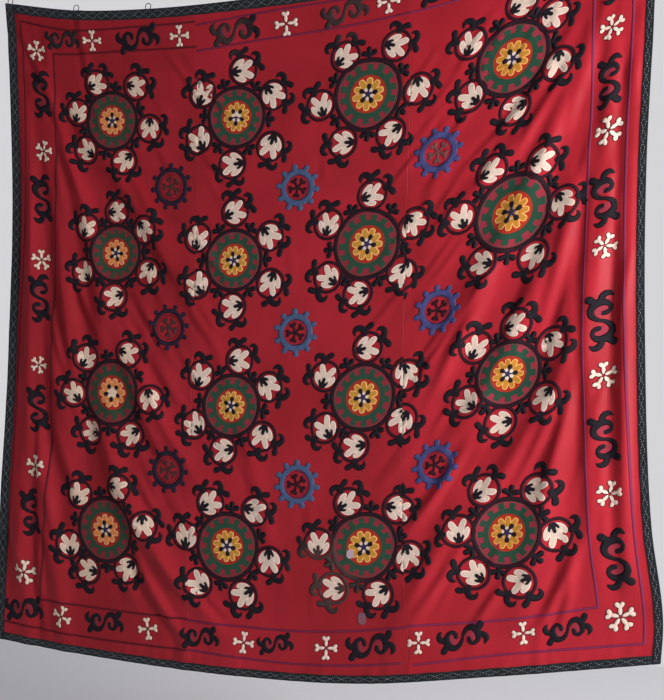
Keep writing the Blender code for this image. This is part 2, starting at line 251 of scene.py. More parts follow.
# Sixteen medallions. For the six roundels round each one: the angle and distance of its place, and the way
# its palmette opens. bloom is the size of the palmettes; slip is how far out of line each seam puts the part
# beyond it
MEDALLIONS = (
    Medallion("r1c1", 0.454, 0.408, 0.112, (115, 50, 350, 290, 225, 170), (25, 350, 265, 220, 145, 75),
              (0.152, 0.166, 0.163, 0.157, 0.159, 0.153), 0.93, 14, (0, 0)),
    Medallion("r1c2", 0.964, 0.412, 0.113, (145, 80, 25, 320, 265, 205), (70, 5, 310, 250, 185, 115),
              (0.165, 0.167, 0.160, 0.176, 0.169, 0.167), 1.05, 14, (0, 0.004)),
    Medallion("r1c3", 1.455, 0.384, 0.124, (185, 120, 55, 355, 300, 240), (105, 35, 340, 275, 210, 175),
              (0.174, 0.163, 0.179, 0.180, 0.170, 0.178), 0.98, 14, (0, 0.006)),
    Medallion("r1c4", 1.944, 0.396, 0.121, (145, 80, 35, 335, 275, 210), (70, 25, 325, 270, 190, 130),
              (0.170, 0.172, 0.162, 0.168, 0.169, 0.158), 0.97, 14, (0, 0)),
    Medallion("r2c1", 0.477, 0.888, 0.108, (145, 90, 35, 335, 270, 210), (70, 5, 310, 245, 200, 130),
              (0.155, 0.153, 0.152, 0.156, 0.160, 0.155), 0.90, 15, (0, 0)),
    Medallion("r2c2", 0.965, 0.912, 0.113, (150, 90, 30, 330, 270, 210), (70, 20, 315, 250, 190, 120),
              (0.172, 0.171, 0.162, 0.170, 0.165, 0.165), 1.02, 14, (0, 0.006)),
    Medallion("r2c3", 1.466, 0.888, 0.122, (150, 85, 15, 320, 260, 215), (75, 15, 315, 235, 190, 140),
              (0.167, 0.167, 0.174, 0.167, 0.167, 0.172), 0.95, 14, (0.004, 0.014)),
    Medallion("r2c4", 1.963, 0.892, 0.127, (170, 115, 55, 355, 295, 235), (110, 20, 345, 300, 220, 160),
              (0.175, 0.171, 0.166, 0.167, 0.173, 0.168), 0.93, 13, (0, 0)),
    Medallion("r3c1", 0.482, 1.390, 0.120, (135, 65, 355, 300, 240, 185), (55, 345, 280, 215, 165, 135),
              (0.167, 0.162, 0.168, 0.170, 0.168, 0.168), 0.92, 15, (0, 0)),
    Medallion("r3c2", 0.972, 1.416, 0.114, (140, 80, 25, 320, 260, 205), (70, 5, 315, 255, 190, 130),
              (0.165, 0.163, 0.160, 0.163, 0.160, 0.161), 1.00, 14, (0, 0.004)),
    Medallion("r3c3", 1.464, 1.398, 0.117, (150, 85, 20, 325, 260, 215), (70, 10, 290, 235, 185, 120),
              (0.162, 0.168, 0.167, 0.170, 0.166, 0.166), 0.98, 14, (0.003, -0.010)),
    Medallion("r3c4", 1.958, 1.400, 0.108, (135, 80, 25, 320, 260, 205), (60, 5, 300, 230, 180, 135),
              (0.152, 0.154, 0.158, 0.157, 0.154, 0.150), 0.91, 13, (0, 0)),
    Medallion("r4c1", 0.472, 1.882, 0.120, (135, 70, 10, 305, 245, 205), (65, 350, 280, 225, 175, 100),
              (0.166, 0.167, 0.172, 0.163, 0.171, 0.170), 0.98, 15, (0, 0)),
    Medallion("r4c2", 0.968, 1.900, 0.121, (115, 50, 345, 290, 230, 170), (30, 345, 270, 210, 145, 85),
              (0.164, 0.168, 0.169, 0.175, 0.176, 0.167), 1.03, 14, (0, 0.004)),
    Medallion("r4c3", 1.470, 1.892, 0.118, (110, 45, 345, 285, 230, 175), (25, 345, 280, 210, 180, 85),
              (0.158, 0.171, 0.162, 0.164, 0.178, 0.164), 0.98, 15, (0.003, 0.008)),
    Medallion("r4c4", 1.946, 1.896, 0.113, (115, 50, 350, 280, 225, 170), (25, 345, 285, 195, 135, 95),
              (0.161, 0.158, 0.157, 0.160, 0.164, 0.158), 0.95, 14, (0, 0)),
)
ROUNDEL_RADIUS = 0.0555
ROUNDEL_TUCK = 0.003
ROUNDEL_CLUSTERS = (22.0, -56.0)
PALMETTE_FOOT = 0.036

Gear = namedtuple("Gear", "name u v radius teeth turn band neck knob sprig_thread")

# Small cogged rings between the medallions, three in each loom width: breadth of the ring's band, of the neck
# and the knob of a tooth, and the thread of the sprigs inside
GEARS = (
    Gear("navy_upper", 0.704, 0.646, 0.086, 11, 0, 0.0165, 0.0110, 0.0200, "green"),
    Gear("navy_middle", 0.710, 1.146, 0.084, 11, 14, 0.0155, 0.0105, 0.0200, "green"),
    Gear("navy_lower", 0.727, 1.648, 0.085, 11, 5, 0.0175, 0.0120, 0.0205, "green"),
    Gear("steel_upper", 1.203, 0.672, 0.082, 10, 10, 0.0225, 0.0185, 0.0215, "black"),
    Gear("steel_middle", 1.211, 1.166, 0.083, 10, 3, 0.0225, 0.0185, 0.0215, "black"),
    Gear("steel_lower", 1.228, 1.680, 0.085, 11, 0, 0.0200, 0.0175, 0.0205, "black"),
    Gear("blue_upper", 1.705, 0.627, 0.085, 11, 12, 0.0225, 0.0180, 0.0210, "green"),
    Gear("blue_middle", 1.720, 1.145, 0.083, 11, 2, 0.0215, 0.0180, 0.0210, "black"),
    Gear("blue_lower", 1.718, 1.648, 0.082, 11, -4, 0.0215, 0.0180, 0.0210, "black"),
)
GEAR_SPRIGS = 5

Sprig = namedtuple("Sprig", "u v arms turn radius")

# White sprigs of the border
SPRIGS = (
    Sprig(0.130, 0.168, 5, 90, 0.042),
    Sprig(0.380, 0.112, 4, 90, 0.042),
    Sprig(0.745, 0.106, 4, 90, 0.042),
    Sprig(1.160, 0.102, 4, 92, 0.046),
    Sprig(1.530, 0.085, 4, 90, 0.043),
    Sprig(1.905, 0.092, 4, 90, 0.043),
    Sprig(2.250, 0.110, 5, 90, 0.044),
    Sprig(0.153, 0.540, 5, 80, 0.042),
    Sprig(0.148, 0.940, 5, 95, 0.040),
    Sprig(0.153, 1.322, 5, 70, 0.034),
    Sprig(0.160, 1.690, 5, 90, 0.044),
    Sprig(0.130, 2.080, 5, 85, 0.047),
    Sprig(0.298, 2.216, 4, 70, 0.042),
    Sprig(0.653, 2.214, 4, 100, 0.042),
    Sprig(1.027, 2.224, 4, 85, 0.040),
    Sprig(1.324, 2.224, 4, 90, 0.042),
    Sprig(1.638, 2.213, 4, 88, 0.039),
    Sprig(1.970, 2.210, 4, 92, 0.038),
    Sprig(2.260, 2.190, 5, 90, 0.047),
    Sprig(2.256, 0.414, 5, 100, 0.040),
    Sprig(2.262, 0.730, 5, 100, 0.046),
    Sprig(2.260, 1.078, 5, 60, 0.040),
    Sprig(2.256, 1.468, 5, 90, 0.043),
    Sprig(2.264, 1.826, 5, 75, 0.042),
)

Scroll = namedtuple("Scroll", "u v turn length")

# Dark scrolls of the border; turn 0 lies along the edge
SCROLLS = (
    Scroll(0.250, 0.115, -2, 0.145),
    Scroll(0.575, 0.108, 4, 0.175),
    Scroll(0.965, 0.108, -2, 0.185),
    Scroll(1.375, 0.092, 2, 0.165),
    Scroll(1.715, 0.086, 0, 0.165),
    Scroll(2.075, 0.092, 0, 0.165),
    Scroll(0.148, 0.330, 86, 0.170),
    Scroll(0.147, 0.716, 88, 0.175),
    Scroll(0.150, 1.080, 90, 0.170),
    Scroll(0.158, 1.480, 92, 0.165),
    Scroll(0.146, 1.860, 92, 0.165),
    Scroll(0.126, 2.214, 2, 0.170),
    Scroll(0.475, 2.212, 0, 0.155),
    Scroll(0.862, 2.220, 0, 0.145),
    Scroll(1.142, 2.220, 4, 0.128),
    Scroll(1.478, 2.216, 0, 0.165),
    Scroll(1.780, 2.208, 3, 0.158),
    Scroll(2.104, 2.212, 3, 0.140),
    Scroll(2.255, 0.580, 84, 0.155),
    Scroll(2.256, 0.934, 90, 0.165),
    Scroll(2.252, 1.302, 86, 0.172),
    Scroll(2.256, 1.660, 92, 0.160),
    Scroll(2.268, 2.020, 86, 0.175),
    Scroll(2.256, 0.260, 90, 0.160),
)

Line = namedtuple("Line", "name points")

# Thin stitched lines that frame the border, as points across and down
FRAME_LINES = (
    Line("outer top left", ((0.068, 0.062), (0.250, 0.076), (0.560, 0.064), (0.811, 0.060))),
    Line("outer top middle", ((0.815, 0.072), (1.150, 0.050), (1.602, 0.052))),
    Line("outer top right", ((1.606, 0.050), (2.000, 0.048), (2.320, 0.055))),
    Line("inner top left", ((0.205, 0.172), (0.500, 0.152), (0.811, 0.150))),
    Line("inner top middle", ((0.815, 0.166), (1.050, 0.150), (1.602, 0.138))),
    Line("inner top right", ((1.606, 0.140), (2.000, 0.150), (2.195, 0.160))),
    Line("outer left", ((0.068, 0.062), (0.072, 0.700), (0.052, 1.300), (0.050, 1.700), (0.030, 2.272))),
    Line("inner left", ((0.205, 0.172), (0.214, 0.700), (0.210, 1.200), (0.220, 1.700), (0.200, 2.168))),
    Line("outer bottom left", ((0.030, 2.272), (0.400, 2.276), (0.811, 2.270))),
    Line("outer bottom middle", ((0.815, 2.268), (1.200, 2.282), (1.580, 2.276))),
    Line("outer bottom right", ((1.625, 2.284), (1.900, 2.272), (2.328, 2.276))),
    Line("inner bottom left", ((0.200, 2.168), (0.500, 2.166), (0.811, 2.162))),
    Line("inner bottom middle", ((0.815, 2.166), (1.200, 2.172), (1.602, 2.160))),
    Line("inner bottom right", ((1.606, 2.156), (1.900, 2.164), (2.198, 2.154))),
    Line("outer right", ((2.320, 0.055), (2.318, 0.700), (2.322, 1.300), (2.330, 1.800), (2.328, 2.276))),
    Line("inner right", ((2.195, 0.160), (2.204, 0.700), (2.196, 1.300), (2.198, 1.800), (2.198, 2.154))),
)
LINE_WIDTH = 0.0074

Faded = namedtuple("Faded", "name u v reach amount")

# Places where the black thread has gone brown or has worn away
FADED = (
    Faded("lower left of r4c3", 1.330, 1.990, 0.165, 0.85),
    Faded("top border third scroll", 0.930, 0.110, 0.120, 0.55),
    Faded("top border fourth scroll", 1.375, 0.092, 0.120, 0.60),
    Faded("top border first scroll", 0.250, 0.115, 0.100, 0.25),
)

Mend = namedtuple("Mend", "name u v width height tone")

# Two small pale places where the cloth has been darned
MENDS = (
    Mend("oval", 1.422, 1.914, 0.025, 0.029, 0.0),
    Mend("oblong", 1.452, 2.126, 0.028, 0.040, 1.0),
)
MEND_SQUARENESS = 0.7


def curve_through(stations, values, share):
    """Smooth curve through values at stations, read at the given shares."""
    stations = np.asarray(stations, float)
    values = np.asarray(values, float)
    slopes = np.gradient(values, stations)
    span = np.clip(np.searchsorted(stations, share) - 1, 0, len(stations) - 2)
    length = stations[span + 1] - stations[span]
    t = (share - stations[span]) / length
    ahead = t * t * (3 - 2 * t)
    return (
        (1 - ahead) * values[span]
        + ahead * values[span + 1]
        + t * (1 - t) * length * ((1 - t) * slopes[span] - t * slopes[span + 1])
    )


def edge_curve(table, share, column):
    """One column of an edge table as a smooth curve along that edge."""
    return curve_through([row.share for row in table], [getattr(row, column) for row in table], share)


def outline(across, down):
    """Place on the wall of a share across and a share down, blended between the four hanging edges."""
    top_x, top_z = edge_curve(TOP_EDGE, across, "x"), edge_curve(TOP_EDGE, across, "height")
    low_x, low_z = edge_curve(BOTTOM_EDGE, across, "x"), edge_curve(BOTTOM_EDGE, across, "height")
    left_x, right_x = edge_curve(LEFT_EDGE, down, "x"), edge_curve(RIGHT_EDGE, down, "x")
    x = (1 - down) * top_x + down * low_x + (1 - across) * left_x + across * right_x
    for near, end in ((1 - across, 0), (across, -1)):
        x = x - near * ((1 - down) * TOP_EDGE[end].x + down * BOTTOM_EDGE[end].x)
    z = (1 - down) * top_z + down * low_z
    return x, z


def fold_run(fold, u, v):
    """Height of a fold's crest level with flat points u, v, and how many half widths they lie beside it."""
    share = np.clip((v - fold.head_v) / (fold.foot_v - fold.head_v), 0.0, 1.0)
    waist = (fold.waist_v - fold.head_v) / (fold.foot_v - fold.head_v)
    centre = curve_through((0.0, waist, 1.0), (fold.head_u, fold.waist_u, fold.foot_u), share)
    rise = curve_through((0.0, waist, 1.0), (fold.head_rise, fold.rise, fold.foot_rise), share)
    beyond = np.maximum(fold.head_v - v, v - fold.foot_v)
    fade = np.exp(-(np.maximum(beyond, 0.0) / FOLD_FADE) ** 2)
    return FOLD_FULLNESS * rise * fade, (u - centre) / fold.width


def fold_rise(fold, u, v):
    """How far one soft fold lifts the cloth."""
    crest, beside = fold_run(fold, u, v)
    return crest * np.exp(-beside ** 2)


def crease_rise(fold, u, v):
    """How far a narrow crease lifts the cloth, with a shallow valley along its left side."""
    crest, beside = fold_run(fold, u, v)
    return crest * (np.exp(-beside ** 2) - VALLEY_SHARE * np.exp(-(beside + VALLEY_OFFSET) ** 2))


def small_creases():
    """Short creases scattered between the folds, fanning as they do."""
    chance = random.Random(11)
    rows = []
    for field in CREASE_FIELDS:
        for _ in range(field.count):
            u, v = chance.uniform(field.start, field.end), chance.uniform(CREASE_TOP, CREASE_BOTTOM)
            share = (u - field.start) / (field.end - field.start)
            lean = field.lean_start + (field.lean_end - field.lean_start) * share
            lean += chance.uniform(-0.10, 0.10)
            half = chance.uniform(*CREASE_HALF_LENGTHS)
            width, rise = chance.uniform(*CREASE_WIDTHS), field.rise * chance.uniform(0.4, 1.3)
            bow = chance.uniform(-0.006, 0.006)
            head, foot = (u - lean * half, v - half), (u + lean * half, v + half)
            rows.append(Fold("small", *head, u + bow, v, *foot, width, 0.0, rise, 0.0))
    return rows


SMALL_CREASES = small_creases()


def small_rise(u, v):
    """How far the short creases lift the cloth, each worked out only near itself."""
    rise = np.zeros(np.shape(u))
    for row in SMALL_CREASES:
        near = (np.abs(v - row.waist_v) < row.foot_v - row.waist_v) & (np.abs(u - row.waist_u) < CREASE_REACH)
        if near.any():
            rise[near] += crease_rise(row, u[near], v[near])
    return rise


def gather_rise(u, v):
    """Small uneven gathers that stand above the bottom binding."""
    chance = random.Random(7)
    rise = np.zeros(np.shape(u))
    if np.max(v) < CLOTH_HEIGHT - TAPE_BOTTOM - 4 * GATHER_HEIGHT:
        return rise
    for k in range(GATHERS):
        centre = CLOTH_WIDTH * (k + 0.5 + chance.uniform(-0.3, 0.3)) / GATHERS
        height = GATHER_HEIGHT * chance.uniform(0.5, 1.5)
        strength = GATHER_RISE * chance.uniform(0.3, 1.3)
        lean = chance.uniform(-0.25, 0.25)
        above = CLOTH_HEIGHT - TAPE_BOTTOM - v
        beside = (u - centre - lean * above) / GATHER_WIDTH
        rise = rise + strength * np.exp(-(above / height) ** 2) * np.exp(-(beside ** 2))
    return rise


def fold_share(u, v):
    """How much of the folds is left where the dense stitching of a medallion stiffens the cloth."""
    share = np.ones(np.shape(u))
    for row in MEDALLIONS:
        away = np.hypot(u - row.u, v - row.v) / (row.radius * STIFF_REACH)
        share = share * (1 - STIFFNESS * np.exp(-away ** 2))
    return share


def depth(u, v):
    """Depth of the fine cloth's middle; the binding is stiff, so nothing changes across its width."""
    u = np.clip(u, TAPE_LEFT, CLOTH_WIDTH - TAPE_RIGHT)
    v = np.clip(v, TAPE_TOP, CLOTH_HEIGHT - TAPE_BOTTOM)
    belly = MIDDLE_BELLY * np.sin(np.pi * u / CLOTH_WIDTH) * np.sin(0.5 * np.pi * v / CLOTH_HEIGHT)
    lift = sum(fold_rise(fold, u, v) for fold in FOLDS) + sum(crease_rise(fold, u, v) for fold in CREASES)
    return -belly - (lift + small_rise(u, v)) * fold_share(u, v) - gather_rise(u, v)


def hang(u, v, forward=0.0):
    """Points of the hanging cloth at flat places u, v, moved forward by a little."""
    u, v = np.asarray(u, float), np.asarray(v, float)
    x, z = outline(u / CLOTH_WIDTH, v / CLOTH_HEIGHT)
    return np.stack((x, depth(u, v) - forward, z), axis=-1)


class HangingSettings(bpy.types.PropertyGroup):
    """Sizes and colours that a user would change."""

    cloth_colour: FloatVectorProperty(
        name="Cloth", description="Dyed cotton ground", subtype="COLOR", size=3,
        default=(0.430, 0.0135, 0.027),
    )
    deep_colour: FloatVectorProperty(
        name="Deep cloth", description="Darker dye of the ground", subtype="COLOR", size=3,
        default=(0.310, 0.0075, 0.0145),
    )
    tape_colour: FloatVectorProperty(
        name="Binding tape", description="Folded edge tape", subtype="COLOR", size=3,
        default=(0.0065, 0.0085, 0.0115),
    )
    row_width: FloatProperty(
        name="Stitch row", description="Width of one row of chain stitch", subtype="DISTANCE", default=0.0014,
    )
    link_length: FloatProperty(
        name="Stitch link", description="Length of one chain stitch", subtype="DISTANCE", default=0.0034,
    )
    stitch_length: FloatProperty(
        name="Binding stitch", description="Length of a stitch on the tape", subtype="DISTANCE",
        default=0.0065,
    )


def settings():
    """The scene's own settings of the hanging."""
    return bpy.context.scene.suzani


def clear_selection():
    """Leave nothing selected and no edit mode open."""
    if bpy.context.object and bpy.context.object.mode != "OBJECT":
        bpy.ops.object.mode_set(mode="OBJECT")
    bpy.ops.object.select_all(action="DESELECT")


def pick(*things):
    """Select these objects, the first one active."""
    clear_selection()
    for thing in things:
        thing.select_set(True)
    bpy.context.view_layer.objects.active = things[0]


def points_of(thing):
    """Vertex places of a mesh as an array."""
    places = np.empty(len(thing.data.vertices) * 3)
    thing.data.vertices.foreach_get("co", places)
    return places.reshape(-1, 3)


def move_points(thing, places):
    """Give a mesh new vertex places."""
    thing.data.vertices.foreach_set("co", np.asarray(places, np.float32).ravel())
    thing.data.update()


def set_run(thing, along, across, tone):
    """Note the thread's run on a mesh: distance along the row, across it, and the shade."""
    values = np.empty((len(thing.data.vertices), 3), np.float32)
    values[:, 0], values[:, 1], values[:, 2] = along, across, tone
    note = thing.data.attributes.get("run") or thing.data.attributes.new("run", "FLOAT_VECTOR", "POINT")
    note.data.foreach_set("vector", values.ravel())


def as_mesh(curve, name):
    """A curve object with the given data, turned into a mesh by the convert tool."""
    thing = bpy.data.objects.new(name, curve)
    bpy.context.scene.collection.objects.link(thing)
    pick(thing)
    bpy.ops.object.convert(target="MESH")
    return bpy.context.object


def add_line(curve, points, radii=None, closed=False):
    """Add a line of straight pieces to a curve, through points of two or three values."""
    line = curve.splines.new("POLY")
    line.points.add(len(points) - 1)
    line.use_cyclic_u = closed
    for spot, place in zip(line.points, points):
        spot.co = (*(*place, 0.0)[:3], 1.0)
    for spot, radius in zip(line.points, () if radii is None else radii):
        spot.radius = radius


def tube(name, points, half_width, roundness=1, radii=None, closed=False, twist="Z_UP"):
    """A round mesh tube along points, open where it is closed on itself and capped elsewhere."""
    curve = bpy.data.curves.new(name, "CURVE")
    curve.dimensions = "3D"
    curve.twist_mode = twist
    curve.bevel_depth = half_width
    curve.bevel_resolution = roundness
    curve.use_fill_caps = not closed
    add_line(curve, points, radii, closed)
    return as_mesh(curve, name)


def weld():
    """Open the active mesh in edit mode and join its points that touch."""
    bpy.ops.object.mode_set(mode="EDIT")
    bpy.ops.mesh.select_all(action="SELECT")
    bpy.ops.mesh.remove_doubles(threshold=WELD)


def patch_form(name, loops, thickness, edge, tone, run, lattice=0.0, inset=0.0):
    """A flat stitched shape: filled outlines with a soft edge, cut on a lattice so that it can bend."""
    curve = bpy.data.curves.new(name, "CURVE")
    curve.dimensions = "2D"
    curve.fill_mode = "BOTH"
    curve.extrude = max(thickness / 2 - edge, 0.00005)
    curve.bevel_depth = edge
    curve.bevel_resolution = 0
    curve.offset = -edge - inset
    for loop in loops:
        add_line(curve, loop, closed=True)
    form = as_mesh(curve, name)
    weld()
    if lattice:
        bpy.ops.mesh.dissolve_limited(angle_limit=FLAT_ANGLE)
        cut_lattice(form, lattice)
    bpy.ops.object.mode_set(mode="OBJECT")
    places = points_of(form)
    along, across = run(places[:, 0], places[:, 1])
    set_run(form, along, across, tone)
    form.data.shade_smooth()
    form.data.set_sharp_from_angle(angle=SHARP_EDGE)
    return form


def cut_lattice(form, pitch):
    """Cut a form in edit mode with evenly spaced lines both ways."""
    low, high = [Vector(corner) for corner in (form.bound_box[0], form.bound_box[6])]
    for axis in (0, 1):
        normal = (1.0, 0.0, 0.0) if axis == 0 else (0.0, 1.0, 0.0)
        for step in range(math.ceil(low[axis] / pitch), math.floor(high[axis] / pitch) + 1):
            bpy.ops.mesh.select_all(action="SELECT")
            place = [0.0, 0.0, 0.0]
            place[axis] = step * pitch + LATTICE_SHIFT
            bpy.ops.mesh.bisect(plane_co=place, plane_no=normal)


def straight_run(x, y):
    """Rows that run up the shape."""
    return y, x


def round_run(x, y):
    """Rows that run round the middle."""
    radius = np.hypot(x, y)
    return np.arctan2(y, x) * 0.08, radius


def smooth_path(points, steps):
    """A smooth curve through given points, with even steps."""
    points = np.asarray(points, float)
    stations = np.concatenate(([0.0], np.cumsum(np.linalg.norm(np.diff(points, axis=0), axis=1))))
    share = np.linspace(0.0, stations[-1], steps)
    return np.stack([curve_through(stations, points[:, k], share) for k in range(points.shape[1])], axis=-1)


# Rounded ends of a stroke: how far out each ring lies and how wide it is, in half widths
ROUND_END = ((0.98, 0.22), (0.72, 0.72))


def stroke_form(name, path, widths, height, tone, steps=7, roundness=1):
    """A padded stroke of stitches: a flattened tube along a path, its ends rounded."""
    path = np.asarray(path, float)
    rows = np.column_stack((path, np.asarray(widths, float) / 2))
    if len(rows) > 2:
        line_rows = smooth_path(rows, steps)
    else:
        line_rows = rows[0] + np.linspace(0, 1, steps)[:, None] * (rows[1] - rows[0])
    start, end = line_rows[0], line_rows[-1]
    first = unit(line_rows[0, :2] - line_rows[1, :2])
    last = unit(line_rows[-1, :2] - line_rows[-2, :2])
    begin = [(*(start[:2] + first * start[2] * reach), start[2] * share) for reach, share in ROUND_END]
    finish = [(*(end[:2] + last * end[2] * reach), end[2] * share) for reach, share in reversed(ROUND_END)]
    stations = np.array(begin + [tuple(row) for row in line_rows] + finish)
    form = tube(name, stations[:, :2], 1.0, roundness, stations[:, 2])
    weld()
    bpy.ops.object.mode_set(mode="OBJECT")
    places = points_of(form)
    nearest = np.argmin(
        np.hypot(places[:, None, 0] - stations[None, :, 0], places[:, None, 1] - stations[None, :, 1]), axis=1
    )
    steps_along = np.concatenate(([0.0], np.cumsum(np.linalg.norm(np.diff(stations[:, :2], axis=0), axis=1))))
    ahead = np.gradient(stations[:, :2], axis=0)
    ahead /= np.maximum(np.linalg.norm(ahead, axis=1), 1e-9)[:, None]
    side = np.stack((-ahead[:, 1], ahead[:, 0]), axis=-1)[nearest]
    across = np.sum((places[:, :2] - stations[nearest, :2]) * side, axis=1)
    set_run(form, steps_along[nearest], across, tone)
    places[:, 2] *= height / max(np.max(np.abs(places[:, 2])), 1e-9)
    move_points(form, places)
    form.data.shade_smooth()
    return form


def unit(step):
    """A step of length one."""
    return step / max(float(np.linalg.norm(step)), 1e-9)


def circle(radius, sides, wobble=0.0, seed=0):
    """Points of a hand drawn circle."""
    chance = random.Random(seed)
    waves = [(k, chance.uniform(-1, 1) * wobble, chance.uniform(0, math.tau)) for k in (2, 3, 5)]
    loop = []
    for k in range(sides):
        angle = math.tau * k / sides
        reach = radius * (1 + sum(size * math.cos(count * angle + shift) for count, size, shift in waves))
        loop.append((reach * math.cos(angle), reach * math.sin(angle)))
    return loop


def mirrored(half):
    """A closed outline from its right half, from the bottom to the top of the middle line."""
    left = [(-x, y) for x, y in reversed(half) if abs(x) > 1e-6]
    return list(half) + left


def smooth_loop(points, steps=2):
    """More points on a closed outline, on a smooth curve through the given ones."""
    points = np.asarray(points, float)
    before, after, later = [np.roll(points, places, axis=0) for places in (1, -1, -2)]
    loop = []
    for k in range(len(points)):
        for t in np.arange(steps) / steps:
            spot = 0.5 * (
                2 * points[k]
                + (after[k] - before[k]) * t
                + (2 * before[k] - 5 * points[k] + 4 * after[k] - later[k]) * t * t
                + (3 * points[k] - before[k] - 3 * after[k] + later[k]) * t ** 3
            )
            loop.append(tuple(spot))
    return loop


# Right half of a palmette, from its foot to its tip
PALMETTE_HALF = (
    (0.0000, -0.0030),
    (0.0120, -0.0010),
    (0.0240, 0.0050),
    (0.0340, 0.0160),
    (0.0395, 0.0295),
    (0.0380, 0.0400),
    (0.0310, 0.0440),
    (0.0250, 0.0400),
    (0.0200, 0.0335),
    (0.0235, 0.0435),
    (0.0300, 0.0540),
    (0.0318, 0.0640),
    (0.0280, 0.0715),
    (0.0200, 0.0730),
    (0.0125, 0.0670),
    (0.0060, 0.0575),
    (0.0000, 0.0480),
)
PALMETTE_EDGE = 0.0030

# Right half of the dark sprig at its foot
FOOT_SPRIG_HALF = (
    (0.0000, -0.0060),
    (0.0080, -0.0050),
    (0.0135, 0.0030),
    (0.0185, 0.0130),
    (0.0175, 0.0190),
    (0.0130, 0.0200),
    (0.0080, 0.0120),
    (0.0058, 0.0190),
    (0.0060, 0.0260),
    (0.0000, 0.0315),
)


def cog_loop(root, tip, teeth, share):
    """Outline of a cog with squarish hand drawn teeth."""
    chance = random.Random(teeth)
    loop = []
    for k in range(teeth):
        middle = math.tau * (k + chance.uniform(-0.06, 0.06)) / teeth
        half = math.tau / teeth * share / 2
        reach = tip * (1 + chance.uniform(-0.03, 0.03))
        gap = math.tau / teeth - 2 * half
        for angle, radius in (
            (-half * 1.05, root),
            (-half * 1.1, reach * 0.965),
            (-half * 0.75, reach),
            (half * 0.75, reach),
            (half * 1.1, reach * 0.965),
            (half * 1.05, root),
            (half + gap / 2, root * 0.995),
        ):
            loop.append((radius * math.cos(middle + angle), radius * math.sin(middle + angle)))
    return loop


class Embroidery:
    """The forms that are drawn once, and the flat copies laid out on each loom width."""

    REGIONS = (("left", -1.0, SEAM_LEFT), ("middle", SEAM_LEFT, SEAM_RIGHT), ("right", SEAM_RIGHT, 9.0))

    def __init__(self):
        self.forms = {}
        self.laid = {}

    def form(self, name, make):
        """A form by name, made the first time it is asked for."""
        if name not in self.forms:
            shape = make(name)
            self.forms[name] = (shape.data, points_of(shape))
            bpy.data.objects.remove(shape)
        return self.forms[name]

    def lay(self, form, thread, level, u, v, turn=0.0, scale=1.0, slip=(0.0, 0.0)):
        """Lay one flat copy of a form on the cloth, each side of a seam going to its own loom width."""
        data, rest = form
        angle = math.radians(turn)
        x = (rest[:, 0] * math.cos(angle) - rest[:, 1] * math.sin(angle)) * scale
        y = (rest[:, 0] * math.sin(angle) + rest[:, 1] * math.cos(angle)) * scale
        places = np.stack((u + x, y - v, rest[:, 2] + LEVEL[level]), axis=-1)
        low, high = places[:, 0].min(), places[:, 0].max()
        home = next(name for name, start, end in self.REGIONS if start <= u < end)
        for name, start, end in self.REGIONS:
            if high <= start or low >= end:
                continue
            shift = (0.0, 0.0) if name == home else slip
            moved = places + np.array((shift[0] * (1 if u < start else -1), -shift[1], 0.0))
            copy = bpy.data.objects.new(f"{thread}_{name}_piece", data.copy())
            bpy.context.scene.collection.objects.link(copy)
            move_points(copy, moved)
            if moved[:, 0].min() < start:
                trim(copy, start, keep_right=True)
            if moved[:, 0].max() > end:
                trim(copy, end, keep_right=False)
            if len(copy.data.vertices):
                self.laid.setdefault((thread, name), []).append(copy)
            else:
                bpy.data.objects.remove(copy)

    def gather_up(self, thread, panel):
        """Join what was laid for one thread on one loom width, and hang it with the cloth."""
        copies = self.laid.pop((thread, panel), [])
        if not copies:
            return None
        pick(*copies)
        bpy.ops.object.join()
        whole = bpy.context.object
        whole.name = f"{thread}_embroidery_{panel}"
        hang_flat(whole)
        return whole


def trim(copy, seam, keep_right):
    """Cut a flat copy along a seam and close the cut."""
    pick(copy)
    bpy.ops.object.mode_set(mode="EDIT")
    bpy.ops.mesh.select_all(action="SELECT")
    bpy.ops.mesh.bisect(
        plane_co=(seam, 0.0, 0.0), plane_no=(1.0, 0.0, 0.0), use_fill=True, clear_inner=keep_right,
        clear_outer=not keep_right,
    )
    bpy.ops.object.mode_set(mode="OBJECT")


def repeat_mesh(thing, placings, name):
    """Repeat one object's mesh once for each array of vertex places, joined by doubling."""
    pick(thing)
    rest = thing.data.copy()
    pieces = []
    for places in placings:
        copy = bpy.data.objects.new(name, rest.copy())
        bpy.context.scene.collection.objects.link(copy)
        move_points(copy, places)
        pieces.append(copy)
    bpy.data.objects.remove(thing)
    pick(*pieces)
    bpy.ops.object.join()
    whole = bpy.context.object
    whole.name = name
    whole.data.shade_smooth()
    return whole


def hang_flat(thing):
    """Move a flat piece, laid out as across, up and height, onto the hanging cloth."""
    flat = points_of(thing)
    move_points(thing, hang(flat[:, 0], -flat[:, 1], CLOTH_THICKNESS / 2 + flat[:, 2]))


WORK = Embroidery()


def place_at_angle(u, v, angle, reach):
    """The place a reach away from another, at an angle from its right."""
    return u + reach * math.cos(math.radians(angle)), v - reach * math.sin(math.radians(angle))


def place_above(row, turn, reach):
    """The place a reach above a motif's middle, turned round with it."""
    return row.u - reach * math.sin(math.radians(turn)), row.v - reach * math.cos(math.radians(turn))


